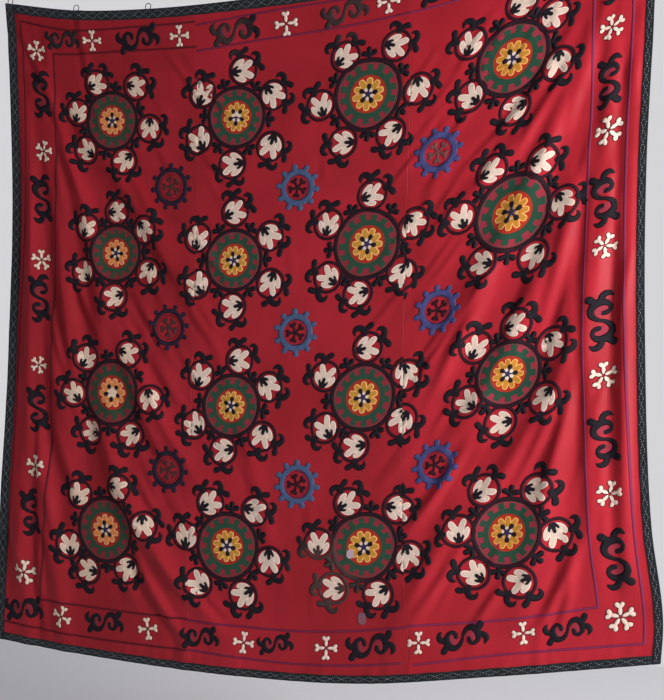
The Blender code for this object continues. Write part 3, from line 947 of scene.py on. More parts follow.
def lay_roundel(row, k, seed):
    """One palmette in its ring, with two leaf clusters outside it."""
    radial, opening = row.angles[k], row.openings[k]
    middle_u, middle_v = place_at_angle(row.u, row.v, radial, row.reaches[k] - ROUNDEL_TUCK)
    kind = seed % 3
    ring = WORK.form(f"roundel_ring_{kind}", lambda name: ring_form(
        name, ROUNDEL_RADIUS, 0.0106, 30, kind, 1.0))
    WORK.lay(ring, "black", "middle", middle_u, middle_v, radial, slip=row.slip)
    base_u, base_v = place_at_angle(middle_u, middle_v, opening, -PALMETTE_FOOT * row.bloom)
    where = {"u": base_u, "v": base_v, "turn": opening - 90, "scale": row.bloom, "slip": row.slip}
    WORK.lay(WORK.form("palmette_rim", palmette_rim), "red", "low", **where)
    WORK.lay(WORK.form("palmette_edge", palmette_edge), "cream", "middle", **where)
    WORK.lay(WORK.form("palmette_fill", palmette_fill), "cream", "high", **where)
    WORK.lay(WORK.form("palmette_foot", palmette_foot), "black", "heart", **where)
    for offset in ROUNDEL_CLUSTERS:
        outward = radial + offset + (seed * 37 % 13 - 6)
        seat_u, seat_v = place_at_angle(middle_u, middle_v, outward, ROUNDEL_RADIUS - ROUNDEL_TUCK)
        size = 0.87 + 0.02 * (seed * 29 % 5)
        for name, make in (("cluster_hook", cluster_hook), ("cluster_lobe", cluster_lobe)):
            form = WORK.form(name, make)
            WORK.lay(form, "black", "middle", seat_u, seat_v, outward - 90, size, slip=row.slip)


RING_WOBBLE = 0.016
RING_RELIEF = 0.0006


def ring_form(name, radius, width, sides, seed, tone):
    """A stitched ring of even width, slightly uneven as drawn by hand."""
    form = tube(name, circle(radius - width / 2, sides, RING_WOBBLE, seed), width / 2, closed=True)
    places = points_of(form)
    set_run(form, *round_run(places[:, 0], places[:, 1]), tone)
    places[:, 2] *= RING_RELIEF / np.max(np.abs(places[:, 2]))
    move_points(form, places)
    form.data.shade_smooth()
    return form


def palmette_edge(name):
    """The pale edge of a palmette, which also lies under its fill."""
    loop = smooth_loop(mirrored(PALMETTE_HALF))
    return patch_form(name, [loop], 0.0009, 0.0003, 0.0, straight_run, FLAT_LATTICE)


def palmette_rim(name):
    """The thin dark outline round a palmette."""
    loop = smooth_loop(mirrored(PALMETTE_HALF))
    return patch_form(name, [loop], 0.0006, 0.0, 0.35, straight_run, 0.018, -0.0012)


def palmette_fill(name):
    """The cream middle of a palmette, inside its edge."""
    loop = smooth_loop(mirrored(PALMETTE_HALF))
    return patch_form(name, [loop], 0.0007, 0.0, 1.0, straight_run, FLAT_LATTICE, PALMETTE_EDGE)


def palmette_foot(name):
    """The dark three-pointed sprig at a palmette's foot."""
    loop = smooth_loop(mirrored(FOOT_SPRIG_HALF))
    return patch_form(name, [loop], 0.0008, 0.0003, 0.0, straight_run, 0.011)


def cluster_hook(name):
    """The curled leaf of a cluster, with its root on the ring."""
    path = (
        (0.004, -0.004), (0.004, 0.009), (-0.003, 0.0195), (-0.0155, 0.0250),
        (-0.0270, 0.0205), (-0.0320, 0.0105), (-0.0310, 0.0030),
    )
    return stroke_form(name, path, (0.0235, 0.0250, 0.0230, 0.0210, 0.0180, 0.0110, 0.0050), 0.0007, 0.0, 10)


def cluster_lobe(name):
    """The straight leaf of a cluster."""
    path = ((0.006, 0.002), (0.016, 0.008), (0.027, 0.0120), (0.037, 0.0140))
    return stroke_form(name, path, (0.0200, 0.0185, 0.0215, 0.0235), 0.0007, 0.0, 5)


def lay_medallion(row, number):
    """One medallion: ring, cog, flower and its six roundels."""
    scale = row.radius / DRAWN_MEDALLION
    where = {"u": row.u, "v": row.v, "slip": row.slip, "scale": scale}
    ring = WORK.form(f"ring_{number % 4}", lambda name: ring_form(
        name, DRAWN_MEDALLION, 0.0150, 64, number % 4, 0.6))
    WORK.lay(ring, "black", "middle", turn=number * 50, **where)
    field = WORK.form("field", lambda name: patch_form(
        name, [circle(0.1085, 60)], 0.0006, 0.0002, 0.0, round_run, 0.011))
    WORK.lay(field, "red", "ground", **where)
    line = WORK.form("field_line", lambda name: ring_form(name, 0.1045, 0.0024, 60, 2, 0.3))
    WORK.lay(line, "green", "low", **where)
    cog_loops = [cog_loop(0.0805, 0.0985, row.teeth, 0.50), circle(0.0622, 48)]
    cog = WORK.form(f"cog_{row.teeth}", lambda name: patch_form(
        name, cog_loops, 0.0011, 0.0003, 0.0, round_run, 0.012))
    WORK.lay(cog, "green", "low", turn=number * 17, **where)
    disc = WORK.form("disc", lambda name: patch_form(
        name, [circle(0.0636, 44)], 0.0009, 0.0003, 1.0, round_run, 0.012))
    WORK.lay(disc, "red", "ground", **where)
    lay_flower(where, number)
    for k, radial in enumerate(row.angles):
        lay_roundel(row, k, number * 6 + k)
        following = row.angles[(k + 1) % len(row.angles)]
        between = radial - ((radial - following) % 360) / 2
        lay_ring_sprig(row, between, number + k)


def lay_ring_sprig(row, angle, seed):
    """Three small leaves on a medallion's ring, between two roundels."""
    leaf = WORK.form("ring_leaf", lambda name: stroke_form(
        name, ((0.0, -0.004), (0.0, 0.011), (0.0, 0.0205)), (0.0110, 0.0150, 0.0200), 0.0006, 0.0, 4, 0))
    seat_u, seat_v = place_at_angle(row.u, row.v, angle, row.radius + 0.006)
    stem = WORK.form("ring_stem", lambda name: stroke_form(
        name, ((0.0, -0.008), (0.0, 0.004)), (0.0110, 0.0110), 0.0006, 0.0, 3, 0))
    WORK.lay(stem, "black", "middle", seat_u, seat_v, angle - 90, slip=row.slip)
    for lean in (-66, 0, 66):
        turn = angle - 90 + lean + (seed % 5 - 2) * 4
        WORK.lay(leaf, "black", "middle", seat_u, seat_v, turn, slip=row.slip)


# Outline of one round petal: share of its breadth and of its height above the notch
PETAL = ((-0.5, 0.0), (-0.42, 0.30), (-0.30, 0.78), (-0.14, 0.98), (0.14, 0.98), (0.30, 0.78), (0.42, 0.30))


def petal_loop(tip, notch, petals):
    """Outline of a flower with round touching petals."""
    chance = random.Random(petals)
    loop = []
    for k in range(petals):
        reach = tip * (1 + chance.uniform(-0.03, 0.03))
        for t, share in PETAL:
            angle = math.tau * (k + t) / petals
            radius = notch + (reach - notch) * share
            loop.append((radius * math.cos(angle), radius * math.sin(angle)))
    return loop


def lay_flower(where, number):
    """A golden flower of round petals with a pale, dotted heart."""
    petals = 10 + number % 2
    loop = petal_loop(0.0545, 0.0385, petals)
    edge = WORK.form(f"flower_edge_{petals}", lambda name: patch_form(
        name, [loop], 0.0011, 0.0003, 0.0, round_run, 0.013))
    body = WORK.form(f"flower_body_{petals}", lambda name: patch_form(
        name, [loop], 0.0010, 0.0003, 1.0, round_run, 0.013, 0.0032))
    heart = WORK.form("heart", lambda name: patch_form(
        name, [circle(0.0205, 16, 0.06, 4)], 0.0010, 0.0003, 1.0, round_run))
    dot = WORK.form("heart_dot", lambda name: stroke_form(
        name, ((0.0, 0.0205), (0.0, 0.0255)), (0.0140, 0.0165), 0.0008, 0.25, 3))
    spoke = WORK.form("heart_spoke", lambda name: stroke_form(
        name, ((0.0, 0.000), (0.0, 0.0150)), (0.0120, 0.0055), 0.0008, 1.0, 3))
    turn = number * 23
    WORK.lay(edge, "golden", "middle", turn=turn, **where)
    WORK.lay(body, "golden", "high", turn=turn, **where)
    WORK.lay(heart, "cream", "top", turn=turn, **where)
    for k in range(5):
        turn = 72 * k + number * 31
        WORK.lay(spoke, "blue", "heart", turn=turn, **where)
        WORK.lay(dot, "black", "heart", turn=turn, **where)


def lay_gear(row):
    """A cogged ring with knobbed teeth and dark sprigs in its middle."""
    scale = row.radius / DRAWN_GEAR
    where = {"u": row.u, "v": row.v, "scale": scale}
    ring = WORK.form(f"gear_ring_{row.band}", lambda name: ring_form(name, 0.0670, row.band, 48, 1, 0.0))
    knob = WORK.form(f"gear_knob_{row.neck}_{row.knob}", lambda name: stroke_form(
        name, ((0.0, 0.060), (0.0, 0.067), (0.0, 0.0745)), (row.neck, row.neck, row.knob), 0.0007, 0.0, 5))
    lining = WORK.form("gear_lining", lambda name: ring_form(name, 0.0450, 0.0026, 40, 2, 0.0))
    stem = WORK.form("gear_stem", lambda name: stroke_form(
        name, ((0.0, 0.000), (0.0, 0.022)), (0.0085, 0.0090), 0.0006, 1.0, 4))
    bud = WORK.form("gear_bud", lambda name: stroke_form(
        name, ((0.0, 0.0), (0.0, 0.0090)), (0.0110, 0.0135), 0.0006, 1.0, 3))
    WORK.lay(ring, "blue", "middle", turn=row.turn, **where)
    WORK.lay(lining, "violet", "middle", turn=row.turn, **where)
    for k in range(row.teeth):
        WORK.lay(knob, "blue", "middle", turn=360 / row.teeth * k + row.turn, **where)
    for k in range(GEAR_SPRIGS):
        turn = 360 / GEAR_SPRIGS * k + row.turn + 18
        WORK.lay(stem, row.sprig_thread, "middle", turn=turn, **where)
        tip_u, tip_v = place_above(row, turn, 0.0235 * scale)
        for lean in (-50, 50):
            WORK.lay(bud, row.sprig_thread, "middle", tip_u, tip_v, turn + lean, scale)


def lay_white_sprig(row):
    """A border sprig: arms of one drop and two splayed petals, each with a dark edge."""
    scale = row.radius / DRAWN_SPRIG
    drop = ((0.0, 0.0100), (0.0, 0.0180), (0.0, 0.0230)), (0.0095, 0.0130, 0.0105)
    petal = ((0.0, 0.0015), (0.0, 0.0100)), (0.0110, 0.0145)
    forms = {}
    for name, (path, widths) in (("drop", drop), ("petal", petal)):
        forms[name] = WORK.form(f"white_{name}", lambda key: stroke_form(key, path, widths, 0.0008, 0.5, 3))
        edge = tuple(width + 0.0030 for width in widths)
        forms[name + "_edge"] = WORK.form(
            f"dark_{name}", lambda key: stroke_form(key, path, edge, 0.0005, 1.0, 3, 0))
    for k in range(row.arms):
        turn = 360 / row.arms * k + row.turn - 90
        WORK.lay(forms["drop_edge"], "black", "low", row.u, row.v, turn, scale)
        WORK.lay(forms["drop"], "cream", "middle", row.u, row.v, turn, scale)
        tip_u, tip_v = place_above(row, turn, 0.0270 * scale)
        for lean in (-44, 44):
            WORK.lay(forms["petal_edge"], "black", "low", tip_u, tip_v, turn + lean, scale)
            WORK.lay(forms["petal"], "cream", "middle", tip_u, tip_v, turn + lean, scale)


# Strokes of half a scroll, from its middle to its right end: path, widths and steps
SCROLL_STROKES = (
    ("scroll_bow", ((-0.002, -0.003), (0.004, 0.012), (0.017, 0.0285), (0.034, 0.0310), (0.048, 0.0205),
                    (0.0535, 0.004), (0.049, -0.014), (0.036, -0.0235), (0.0235, -0.0160), (0.0215, -0.005)),
     (0.0085, 0.0125, 0.0175, 0.0215, 0.0240, 0.0225, 0.0160, 0.0120, 0.0150, 0.0145), 18),
    ("scroll_upper_leaf", ((0.049, 0.016), (0.058, 0.029), (0.0635, 0.0385)), (0.0150, 0.0205, 0.0235), 5),
    ("scroll_hook", ((0.053, 0.006), (0.066, 0.004), (0.0760, -0.004), (0.0785, -0.0160), (0.0715, -0.0265)),
     (0.0150, 0.0185, 0.0205, 0.0165, 0.0070), 8),
)
SCROLL_EYE = (0.0330, 0.0045, 0.0185)


def lay_scroll(row):
    """A border scroll: two curled halves turned end for end on a thin neck, each round a dull pink eye."""
    scale = row.length / DRAWN_SCROLL
    x, y, radius = SCROLL_EYE
    eye = WORK.form("scroll_eye", lambda name: patch_form(
        name, [[(x + a, y + b) for a, b in circle(radius, 18)]], 0.0006, 0.0002, 0.0, straight_run, 0.010))
    for half_turn in (0, 180):
        WORK.lay(eye, "red", "ground", row.u, row.v, row.turn + half_turn, scale)
    for name, path, widths, steps in SCROLL_STROKES:
        form = WORK.form(name, lambda key: stroke_form(key, path, widths, 0.0007, 0.0, steps))
        for half_turn in (0, 180):
            WORK.lay(form, "black", "middle", row.u, row.v, row.turn + half_turn, scale)


def lay_frame_line(row):
    """A thin stitched line of the border's frame."""
    points = [(u, -v) for u, v in row.points]
    length = sum(math.dist(a, b) for a, b in zip(points, points[1:]))
    steps = max(8, int(length / 0.012))
    form = WORK.form("line_" + row.name, lambda name: stroke_form(
        name, points, [LINE_WIDTH] * len(points), 0.0006, 0.5, steps))
    WORK.lay(form, "violet", "low", 0.0, 0.0)


def lay_mend(row):
    """A small darn that covers whatever it crosses."""
    def bulge(value):
        return math.copysign(abs(value) ** MEND_SQUARENESS, value)

    angles = [math.tau * k / 20 for k in range(20)]
    loop = [(bulge(math.cos(a)) * row.width / 2, bulge(math.sin(a)) * row.height / 2) for a in angles]
    form = WORK.form("mend_" + row.name, lambda name: patch_form(
        name, [loop], 0.0008, 0.0003, row.tone, straight_run))
    WORK.lay(form, "grey", "heart", row.u, row.v)


class Nodes:
    """Short calls that add and join shader nodes of one material."""

    def __init__(self, name):
        self.finish = bpy.data.materials.new(name)
        self.finish.use_nodes = True
        self.tree = self.finish.node_tree
        self.shader = self.tree.nodes["Principled BSDF"]

    def node(self, kind, inputs=(), **settings_of):
        """A node with its settings and inputs; an input is a value or another node's output."""
        new = self.tree.nodes.new(kind)
        for key, value in settings_of.items():
            setattr(new, key, value)
        for key, value in dict(inputs).items():
            self.feed(new.inputs[key], value)
        return new

    def feed(self, socket, value):
        """Set a socket or link it."""
        if isinstance(value, bpy.types.NodeSocket):
            self.tree.links.new(value, socket)
        else:
            socket.default_value = value

    def math(self, operation, *values, clamp=False):
        """A math node's result."""
        new = self.node("ShaderNodeMath", operation=operation, use_clamp=clamp)
        for socket, value in zip(new.inputs, values):
            self.feed(socket, value)
        return new.outputs[0]

    def mix(self, factor, first, second, blend="MIX"):
        """Two colours mixed."""
        new = self.node("ShaderNodeMix", data_type="RGBA", blend_type=blend)
        self.feed(new.inputs[0], factor)
        self.feed(new.inputs[6], first)
        self.feed(new.inputs[7], second)
        return new.outputs[2]

    def noise(self, vector, scale, detail=2.0, roughness=0.5):
        """Noise from 0 to 1."""
        inputs = {"Vector": vector, "Scale": scale, "Detail": detail, "Roughness": roughness}
        return self.node("ShaderNodeTexNoise", inputs).outputs["Fac"]

    def ramp(self, value, low, high):
        """Value from low to high stretched to 0 to 1."""
        new = self.node("ShaderNodeMapRange", {"Value": value, "From Min": low, "From Max": high})
        return new.outputs["Result"]

    def bump(self, height, distance, strength=1.0, below=None):
        """A bump that may stand on another."""
        inputs = {"Height": height, "Distance": distance, "Strength": strength}
        if below is not None:
            inputs["Normal"] = below
        return self.node("ShaderNodeBump", inputs).outputs["Normal"]


def colour(values):
    """Three linear values with full cover."""
    return (*values, 1.0)


def shaded(values, factor):
    """A colour made lighter or darker."""
    return (*(value * factor for value in values), 1.0)


def cloth_finish(name, painted_shade):
    """Plain woven cotton sateen with faded and deeper places, its colour scaled by painted shade for each
    loom width.
    """
    make = Nodes(name)
    tones = settings().cloth_colour, settings().deep_colour
    # Both cloth tones are scaled by the loom width's painted shade, darker on the left and middle widths,
    # away from the window light
    main, deep = [tuple(value * painted_shade for value in tone) for tone in tones]
    flat = make.node("ShaderNodeUVMap", uv_map="flat").outputs["UV"]
    split = make.node("ShaderNodeSeparateXYZ", {"Vector": flat})
    across, down = split.outputs["X"], split.outputs["Y"]
    broad = make.noise(flat, 1.7, 3.0, 0.6)
    patchy = make.noise(flat, 9.0, 4.0, 0.6)
    base = make.mix(make.ramp(broad, 0.35, 0.65), colour(deep), colour(main))
    base = make.mix(make.math("MULTIPLY", make.ramp(patchy, 0.4, 0.75), 0.18), base, shaded(main, 1.5))
    drawn_out = make.node("ShaderNodeMapping", {"Vector": flat, "Scale": (40.0, 900.0, 1.0)})
    slub = make.noise(drawn_out.outputs["Vector"], 1.0)
    base = make.mix(make.math("MULTIPLY", make.ramp(slub, 0.4, 0.7), 0.16), base, shaded(main, 0.72))
    warp = make.math("SINE", make.math("MULTIPLY", across, 7400.0))
    weft = make.math("SINE", make.math("MULTIPLY", down, 5600.0))
    weave = make.math("MULTIPLY", warp, weft)
    normal = make.bump(weave, 0.00006, 0.5)
    normal = make.bump(slub, 0.00012, 0.5, normal)
    normal = make.bump(make.noise(flat, 55.0, 3.0), 0.0006, 0.45, normal)
    make.feed(make.shader.inputs["Base Color"], base)
    make.feed(make.shader.inputs["Normal"], normal)
    make.feed(make.shader.inputs["Roughness"], make.math("ADD", make.math("MULTIPLY", slub, 0.12), 0.46))
    make.shader.inputs["Specular IOR Level"].default_value = 0.22
    make.shader.inputs["Sheen Weight"].default_value = 0.10
    make.shader.inputs["Sheen Roughness"].default_value = 0.35
    make.shader.inputs["Sheen Tint"].default_value = (1.0, 0.35, 0.45, 1.0)
    return make.finish


def thread_finish(name, light, dark, faded=None):
    """Chain stitched thread: rows of links that follow the form, in two shades, with painted shade in the
    grooves between rows and links.
    """
    make = Nodes(name)
    run = make.node("ShaderNodeAttribute", attribute_name="run").outputs["Vector"]
    split = make.node("ShaderNodeSeparateXYZ", {"Vector": run})
    along, across, tone = split.outputs["X"], split.outputs["Y"], split.outputs["Z"]
    spot = make.node("ShaderNodeTexCoord").outputs["Object"]
    wobble = make.math("MULTIPLY", make.math("SUBTRACT", make.noise(spot, 90.0), 0.5), 0.0012)
    row = make.math("DIVIDE", make.math("ADD", across, wobble), settings().row_width)
    within = make.math("ABSOLUTE", make.math("SUBTRACT", make.math("FRACT", row), 0.5))
    stagger = make.math("MULTIPLY", make.math("FLOOR", row), 0.37)
    link = make.math("FRACT", make.math("ADD", make.math("DIVIDE", along, settings().link_length), stagger))
    lift = make.math("SUBTRACT", 1.0, make.math("MULTIPLY", make.math("POWER", within, 2.0), 4.0))
    pinch = make.math("SINE", make.math("MULTIPLY", link, math.pi))
    stitch = make.math("MULTIPLY", lift, make.math("ADD", make.math("MULTIPLY", pinch, 0.6), 0.4))
    fleck = make.noise(spot, 420.0, 2.0)
    base = make.mix(tone, colour(light), colour(dark))
    if faded is not None:
        base = fade_places(make, spot, base, faded)
    # Painted shade: the thread is darkened towards 0.45 of its colour in the grooves between rows and between
    # links, where the stitch is low
    base = make.mix(make.math("MULTIPLY", make.math("SUBTRACT", 1.0, stitch, clamp=True), 0.45), base,
                    make.mix(1.0, base, (0.45, 0.45, 0.45, 1.0), "MULTIPLY"))
    base = make.mix(make.math("MULTIPLY", make.ramp(fleck, 0.35, 0.7), 0.22), base,
                    make.mix(1.0, base, (1.35, 1.35, 1.35, 1.0), "MULTIPLY"))
    normal = make.bump(stitch, 0.0004, 0.7)
    normal = make.bump(fleck, 0.00015, 0.4, normal)
    make.feed(make.shader.inputs["Base Color"], base)
    make.feed(make.shader.inputs["Normal"], normal)
    make.shader.inputs["Roughness"].default_value = 0.68
    make.shader.inputs["Specular IOR Level"].default_value = 0.16
    return make.finish


def fade_places(make, spot, base, faded):
    """Brown the thread round the faded places."""
    for place in FADED:
        middle = tuple(float(value) for value in hang(np.array([place.u]), np.array([place.v]))[0])
        away = make.node("ShaderNodeVectorMath", {0: spot, 1: middle}, operation="DISTANCE").outputs["Value"]
        near = make.node("ShaderNodeMapRange", {
            "Value": away, "From Min": place.reach, "From Max": place.reach * 0.45, "To Max": place.amount
        }, interpolation_type="SMOOTHSTEP").outputs["Result"]
        base = make.mix(near, base, colour(faded))
    return base


def tape_finish(name):
    """Dark woven tape with a fine cross rib, with painted shade in the rib's hollows."""
    make = Nodes(name)
    spot = make.node("ShaderNodeTexCoord").outputs["Object"]
    flat = make.node("ShaderNodeUVMap", uv_map="flat").outputs["UV"]
    split = make.node("ShaderNodeSeparateXYZ", {"Vector": flat})
    rib = make.math("SINE", make.math("MULTIPLY", split.outputs["X"], 4200.0))
    cross = make.math("SINE", make.math("MULTIPLY", split.outputs["Y"], 5200.0))
    weave = make.math("ADD", make.math("MULTIPLY", rib, 0.6), make.math("MULTIPLY", cross, 0.4))
    dust = make.noise(spot, 14.0, 5.0, 0.65)
    base = make.mix(make.ramp(dust, 0.42, 0.75), colour(settings().tape_colour), (0.017, 0.020, 0.025, 1.0))
    # Painted shade: the tape is darkened to 0.7 of its colour in the hollows of the weave
    base = make.mix(make.ramp(weave, -1.0, 1.0), make.mix(1.0, base, (0.7, 0.7, 0.7, 1.0), "MULTIPLY"), base)
    normal = make.bump(weave, 0.0001, 0.6)
    normal = make.bump(make.noise(spot, 60.0, 3.0), 0.0008, 0.5, normal)
    make.feed(make.shader.inputs["Base Color"], base)
    make.feed(make.shader.inputs["Normal"], normal)
    make.shader.inputs["Roughness"].default_value = 0.82
    make.shader.inputs["Specular IOR Level"].default_value = 0.25
    make.shader.inputs["Sheen Weight"].default_value = 0.08
    make.shader.inputs["Sheen Roughness"].default_value = 0.5
    return make.finish


def cord_finish(name, dark, light):
    """Matt twisted thread."""
    make = Nodes(name)
    spot = make.node("ShaderNodeTexCoord").outputs["Object"]
    grain = make.noise(spot, 700.0, 3.0)
    base = make.mix(make.ramp(grain, 0.3, 0.7), colour(dark), colour(light))
    make.feed(make.shader.inputs["Base Color"], base)
    make.feed(make.shader.inputs["Normal"], make.bump(grain, 0.0003, 0.6))
    make.shader.inputs["Roughness"].default_value = 0.85
    make.shader.inputs["Specular IOR Level"].default_value = 0.25
    return make.finish


def dress(thing, finish):
    """Give a piece one material."""
    thing.data.materials.clear()
    thing.data.materials.append(finish)


def stations(start, end, cell, strip=0.0):
    """Evenly spaced grid lines, with a narrow strip at both ends where one is asked for."""
    first, last = start + strip, end - strip
    lines = list(np.linspace(first, last, max(2, round((last - first) / cell)) + 1))
    return np.array([start] + lines + [end] if strip else lines)


def grid_sheet(name, across, down, place):
    """A grid primitive whose points are moved by place(across, down), with the flat places as its UV map."""
    clear_selection()
    bpy.ops.mesh.primitive_grid_add(x_subdivisions=len(across) - 1, y_subdivisions=len(down) - 1, size=2.0)
    sheet = bpy.context.object
    sheet.name = name
    rest = points_of(sheet)
    columns = np.rint((rest[:, 0] + 1) / 2 * (len(across) - 1)).astype(int)
    rows = np.rint((1 - rest[:, 1]) / 2 * (len(down) - 1)).astype(int)
    u, v = across[columns], down[rows]
    flat = sheet.data.uv_layers[0]
    flat.name = "flat"
    corner = np.empty(len(sheet.data.loops), int)
    sheet.data.loops.foreach_get("vertex_index", corner)
    flat.data.foreach_set("uv", np.column_stack((u, v))[corner].astype(np.float32).ravel())
    move_points(sheet, place(u, v))
    sheet.data.shade_smooth()
    return sheet


def thicken(thing, thickness, offset):
    """Give a sheet its thickness and apply it."""
    pick(thing)
    wall = thing.modifiers.new("thickness", "SOLIDIFY")
    wall.thickness = thickness
    wall.offset = offset
    wall.use_even_offset = False
    bpy.ops.object.modifier_apply(modifier=wall.name)


# Camera fitted to the photograph, whose frame is 664 by 700 pixels
PHOTO_HEIGHT = 700
CAMERA_FOCAL_PIXELS = 1215.3
CAMERA_YAW = math.radians(23.96)
CAMERA_PITCH = math.radians(1.786)
CAMERA_ROLL = math.radians(-0.285)
CAMERA_PLACE = Vector((1.753, -3.654, -1.329))

# Area lights: name, place, size and power; all of them aim at the middle of the cloth
LIGHTS = (
    ("window", (4.6, -1.9, -0.4), 1.4, 302.0),
    ("fill", (-1.8, -5.5, -0.2), 3.0, 34.0),
    ("back fill", (0.5, 5.5, 0.8), 3.5, 60.0),
)
LIGHT_AIM = Vector((0.0, 0.0, -1.1))
FLOOR_HEIGHT = -2.75
STUDIO_PALE = (0.66, 0.66, 0.68, 1.0)
STUDIO_DIM = (0.115, 0.115, 0.125, 1.0)


class SUZANI_OT_stage(bpy.types.Operator):
    """Add the camera, soft studio light and a pale floor"""

    bl_idname = "suzani.stage"
    bl_label = "Stage"

    def execute(self, context):
        scene = context.scene
        yaw, pitch, roll = CAMERA_YAW, CAMERA_PITCH, CAMERA_ROLL
        level = math.cos(pitch)
        forward = Vector((-math.sin(yaw) * level, math.cos(yaw) * level, math.sin(pitch)))
        right = Vector((math.cos(yaw), math.sin(yaw), 0.0))
        up = right.cross(forward)
        turned_right = math.cos(roll) * right + math.sin(roll) * up
        turned_up = -math.sin(roll) * right + math.cos(roll) * up
        data = bpy.data.cameras.new("camera")
        data.sensor_width = 36.0
        data.lens = CAMERA_FOCAL_PIXELS * data.sensor_width / PHOTO_HEIGHT
        data.dof.use_dof = False
        camera = bpy.data.objects.new("camera", data)
        turn = Matrix((turned_right, turned_up, -forward)).transposed()
        camera.matrix_world = Matrix.Translation(CAMERA_PLACE) @ turn.to_4x4()
        scene.collection.objects.link(camera)
        scene.camera = camera
        self.lights(scene)
        self.floor()
        return {"FINISHED"}

    def lights(self, scene):
        """A window light from the right, a weak fill, and a studio that is pale behind the cloth only."""
        for name, place, size, power in LIGHTS:
            data = bpy.data.lights.new(name, "AREA")
            data.shape = "SQUARE"
            data.size = size
            data.energy = power
            lamp = bpy.data.objects.new(name, data)
            lamp.location = place
            lamp.rotation_mode = "QUATERNION"
            lamp.rotation_quaternion = (LIGHT_AIM - Vector(place)).to_track_quat("-Z", "Y")
            scene.collection.objects.link(lamp)
        world = bpy.data.worlds.new("studio")
        world.use_nodes = True
        tree = world.node_tree
        facing = tree.nodes.new("ShaderNodeTexCoord")
        split = tree.nodes.new("ShaderNodeSeparateXYZ")
        share = tree.nodes.new("ShaderNodeMapRange")
        share.inputs["From Min"].default_value = -0.15
        share.inputs["From Max"].default_value = 0.25
        tone = tree.nodes.new("ShaderNodeMix")
        tone.data_type = "RGBA"
        tone.inputs[6].default_value = STUDIO_DIM
        tone.inputs[7].default_value = STUDIO_PALE
        tree.links.new(facing.outputs["Generated"], split.inputs[0])
        tree.links.new(split.outputs["Y"], share.inputs["Value"])
        tree.links.new(share.outputs["Result"], tone.inputs[0])
        tree.links.new(tone.outputs[2], tree.nodes["Background"].inputs["Color"])
        scene.world = world
        scene.view_settings.view_transform = "Standard"

    def floor(self):
        """A pale floor well below the cloth."""
        clear_selection()
        bpy.ops.mesh.primitive_plane_add(size=9.0, location=(0.0, -1.8, FLOOR_HEIGHT))
        floor = bpy.context.object
        floor.name = "floor"
        make = Nodes("floor_paint")
        make.shader.inputs["Base Color"].default_value = (0.72, 0.73, 0.75, 1.0)
        make.shader.inputs["Roughness"].default_value = 0.9
        dress(floor, make.finish)


# Loom widths: name, where each starts and ends across, and the painted shade that scales its cloth colour,
# darker for the left and middle widths that lie further from the window light
PANELS = (
    ("left", CLOTH_INSET, SEAM_LEFT - SEAM_GAP / 2, 0.79),
    ("middle", SEAM_LEFT + SEAM_GAP / 2, SEAM_RIGHT - SEAM_GAP / 2, 0.87),
    ("right", SEAM_RIGHT + SEAM_GAP / 2, CLOTH_WIDTH - CLOTH_INSET, 1.0),
)


class SUZANI_OT_cloth(bpy.types.Operator):
    """Add the three loom widths of creased cotton"""

    bl_idname = "suzani.cloth"
    bl_label = "Cloth"

    def execute(self, context):
        down = stations(CLOTH_INSET, CLOTH_HEIGHT - CLOTH_INSET, CLOTH_CELL)
        for name, start, end, painted_shade in PANELS:
            across = stations(start, end, CLOTH_CELL, SEAM_STRIP)
            sheet = grid_sheet(f"cloth_{name}", across, down, lambda u, v: self.place(u, v, start, end))
            thicken(sheet, CLOTH_THICKNESS * 0.8, -1.0)
            dress(sheet, cloth_finish(f"red_cotton_sateen_{name}", painted_shade))
            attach(sheet, BODY)
            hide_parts(f"cloth_panel_{name}")
        return {"FINISHED"}

    def place(self, u, v, start, end):
        """The cloth's face, turned under a little at each edge of the loom width."""
        edge = (np.abs(u - start) < 1e-6) | (np.abs(u - end) < 1e-6)
        return hang(u, v, CLOTH_THICKNESS / 2 - SEAM_TURN * edge)


# Section of the folded tape from its front inner edge round to the back: share of the tape's width inwards, a
# distance added to it, and how far forward of the cloth's middle
TAPE_SECTION = (
    (1.0, -0.0008, 0.0011),
    (1.0, -0.0009, 0.0020),
    (1.0, -0.0020, 0.0023),
    (0.80, 0.0, 0.0025),
    (0.60, 0.0, 0.0023),
    (0.42, 0.0, 0.0025),
    (0.24, 0.0, 0.0023),
    (0.0, 0.0040, 0.0024),
    (0.0, 0.0008, 0.0020),
    (0.0, -0.0002, 0.0010),
    (0.0, -0.0002, -0.0010),
    (0.0, 0.0008, -0.0020),
    (0.0, 0.0040, -0.0023),
    (0.50, 0.0, -0.0024),
    (1.0, -0.0020, -0.0022),
    (1.0, -0.0009, -0.0011),
)


TAPE_CELL = 0.013
STITCH_DIAMOND = 0.039
STITCH_MARGIN = 0.006
STITCH_RADIUS = 0.00055
STITCH_HEIGHT = 0.0027
STITCH_GAP = 0.0022
STITCH_END = 0.004


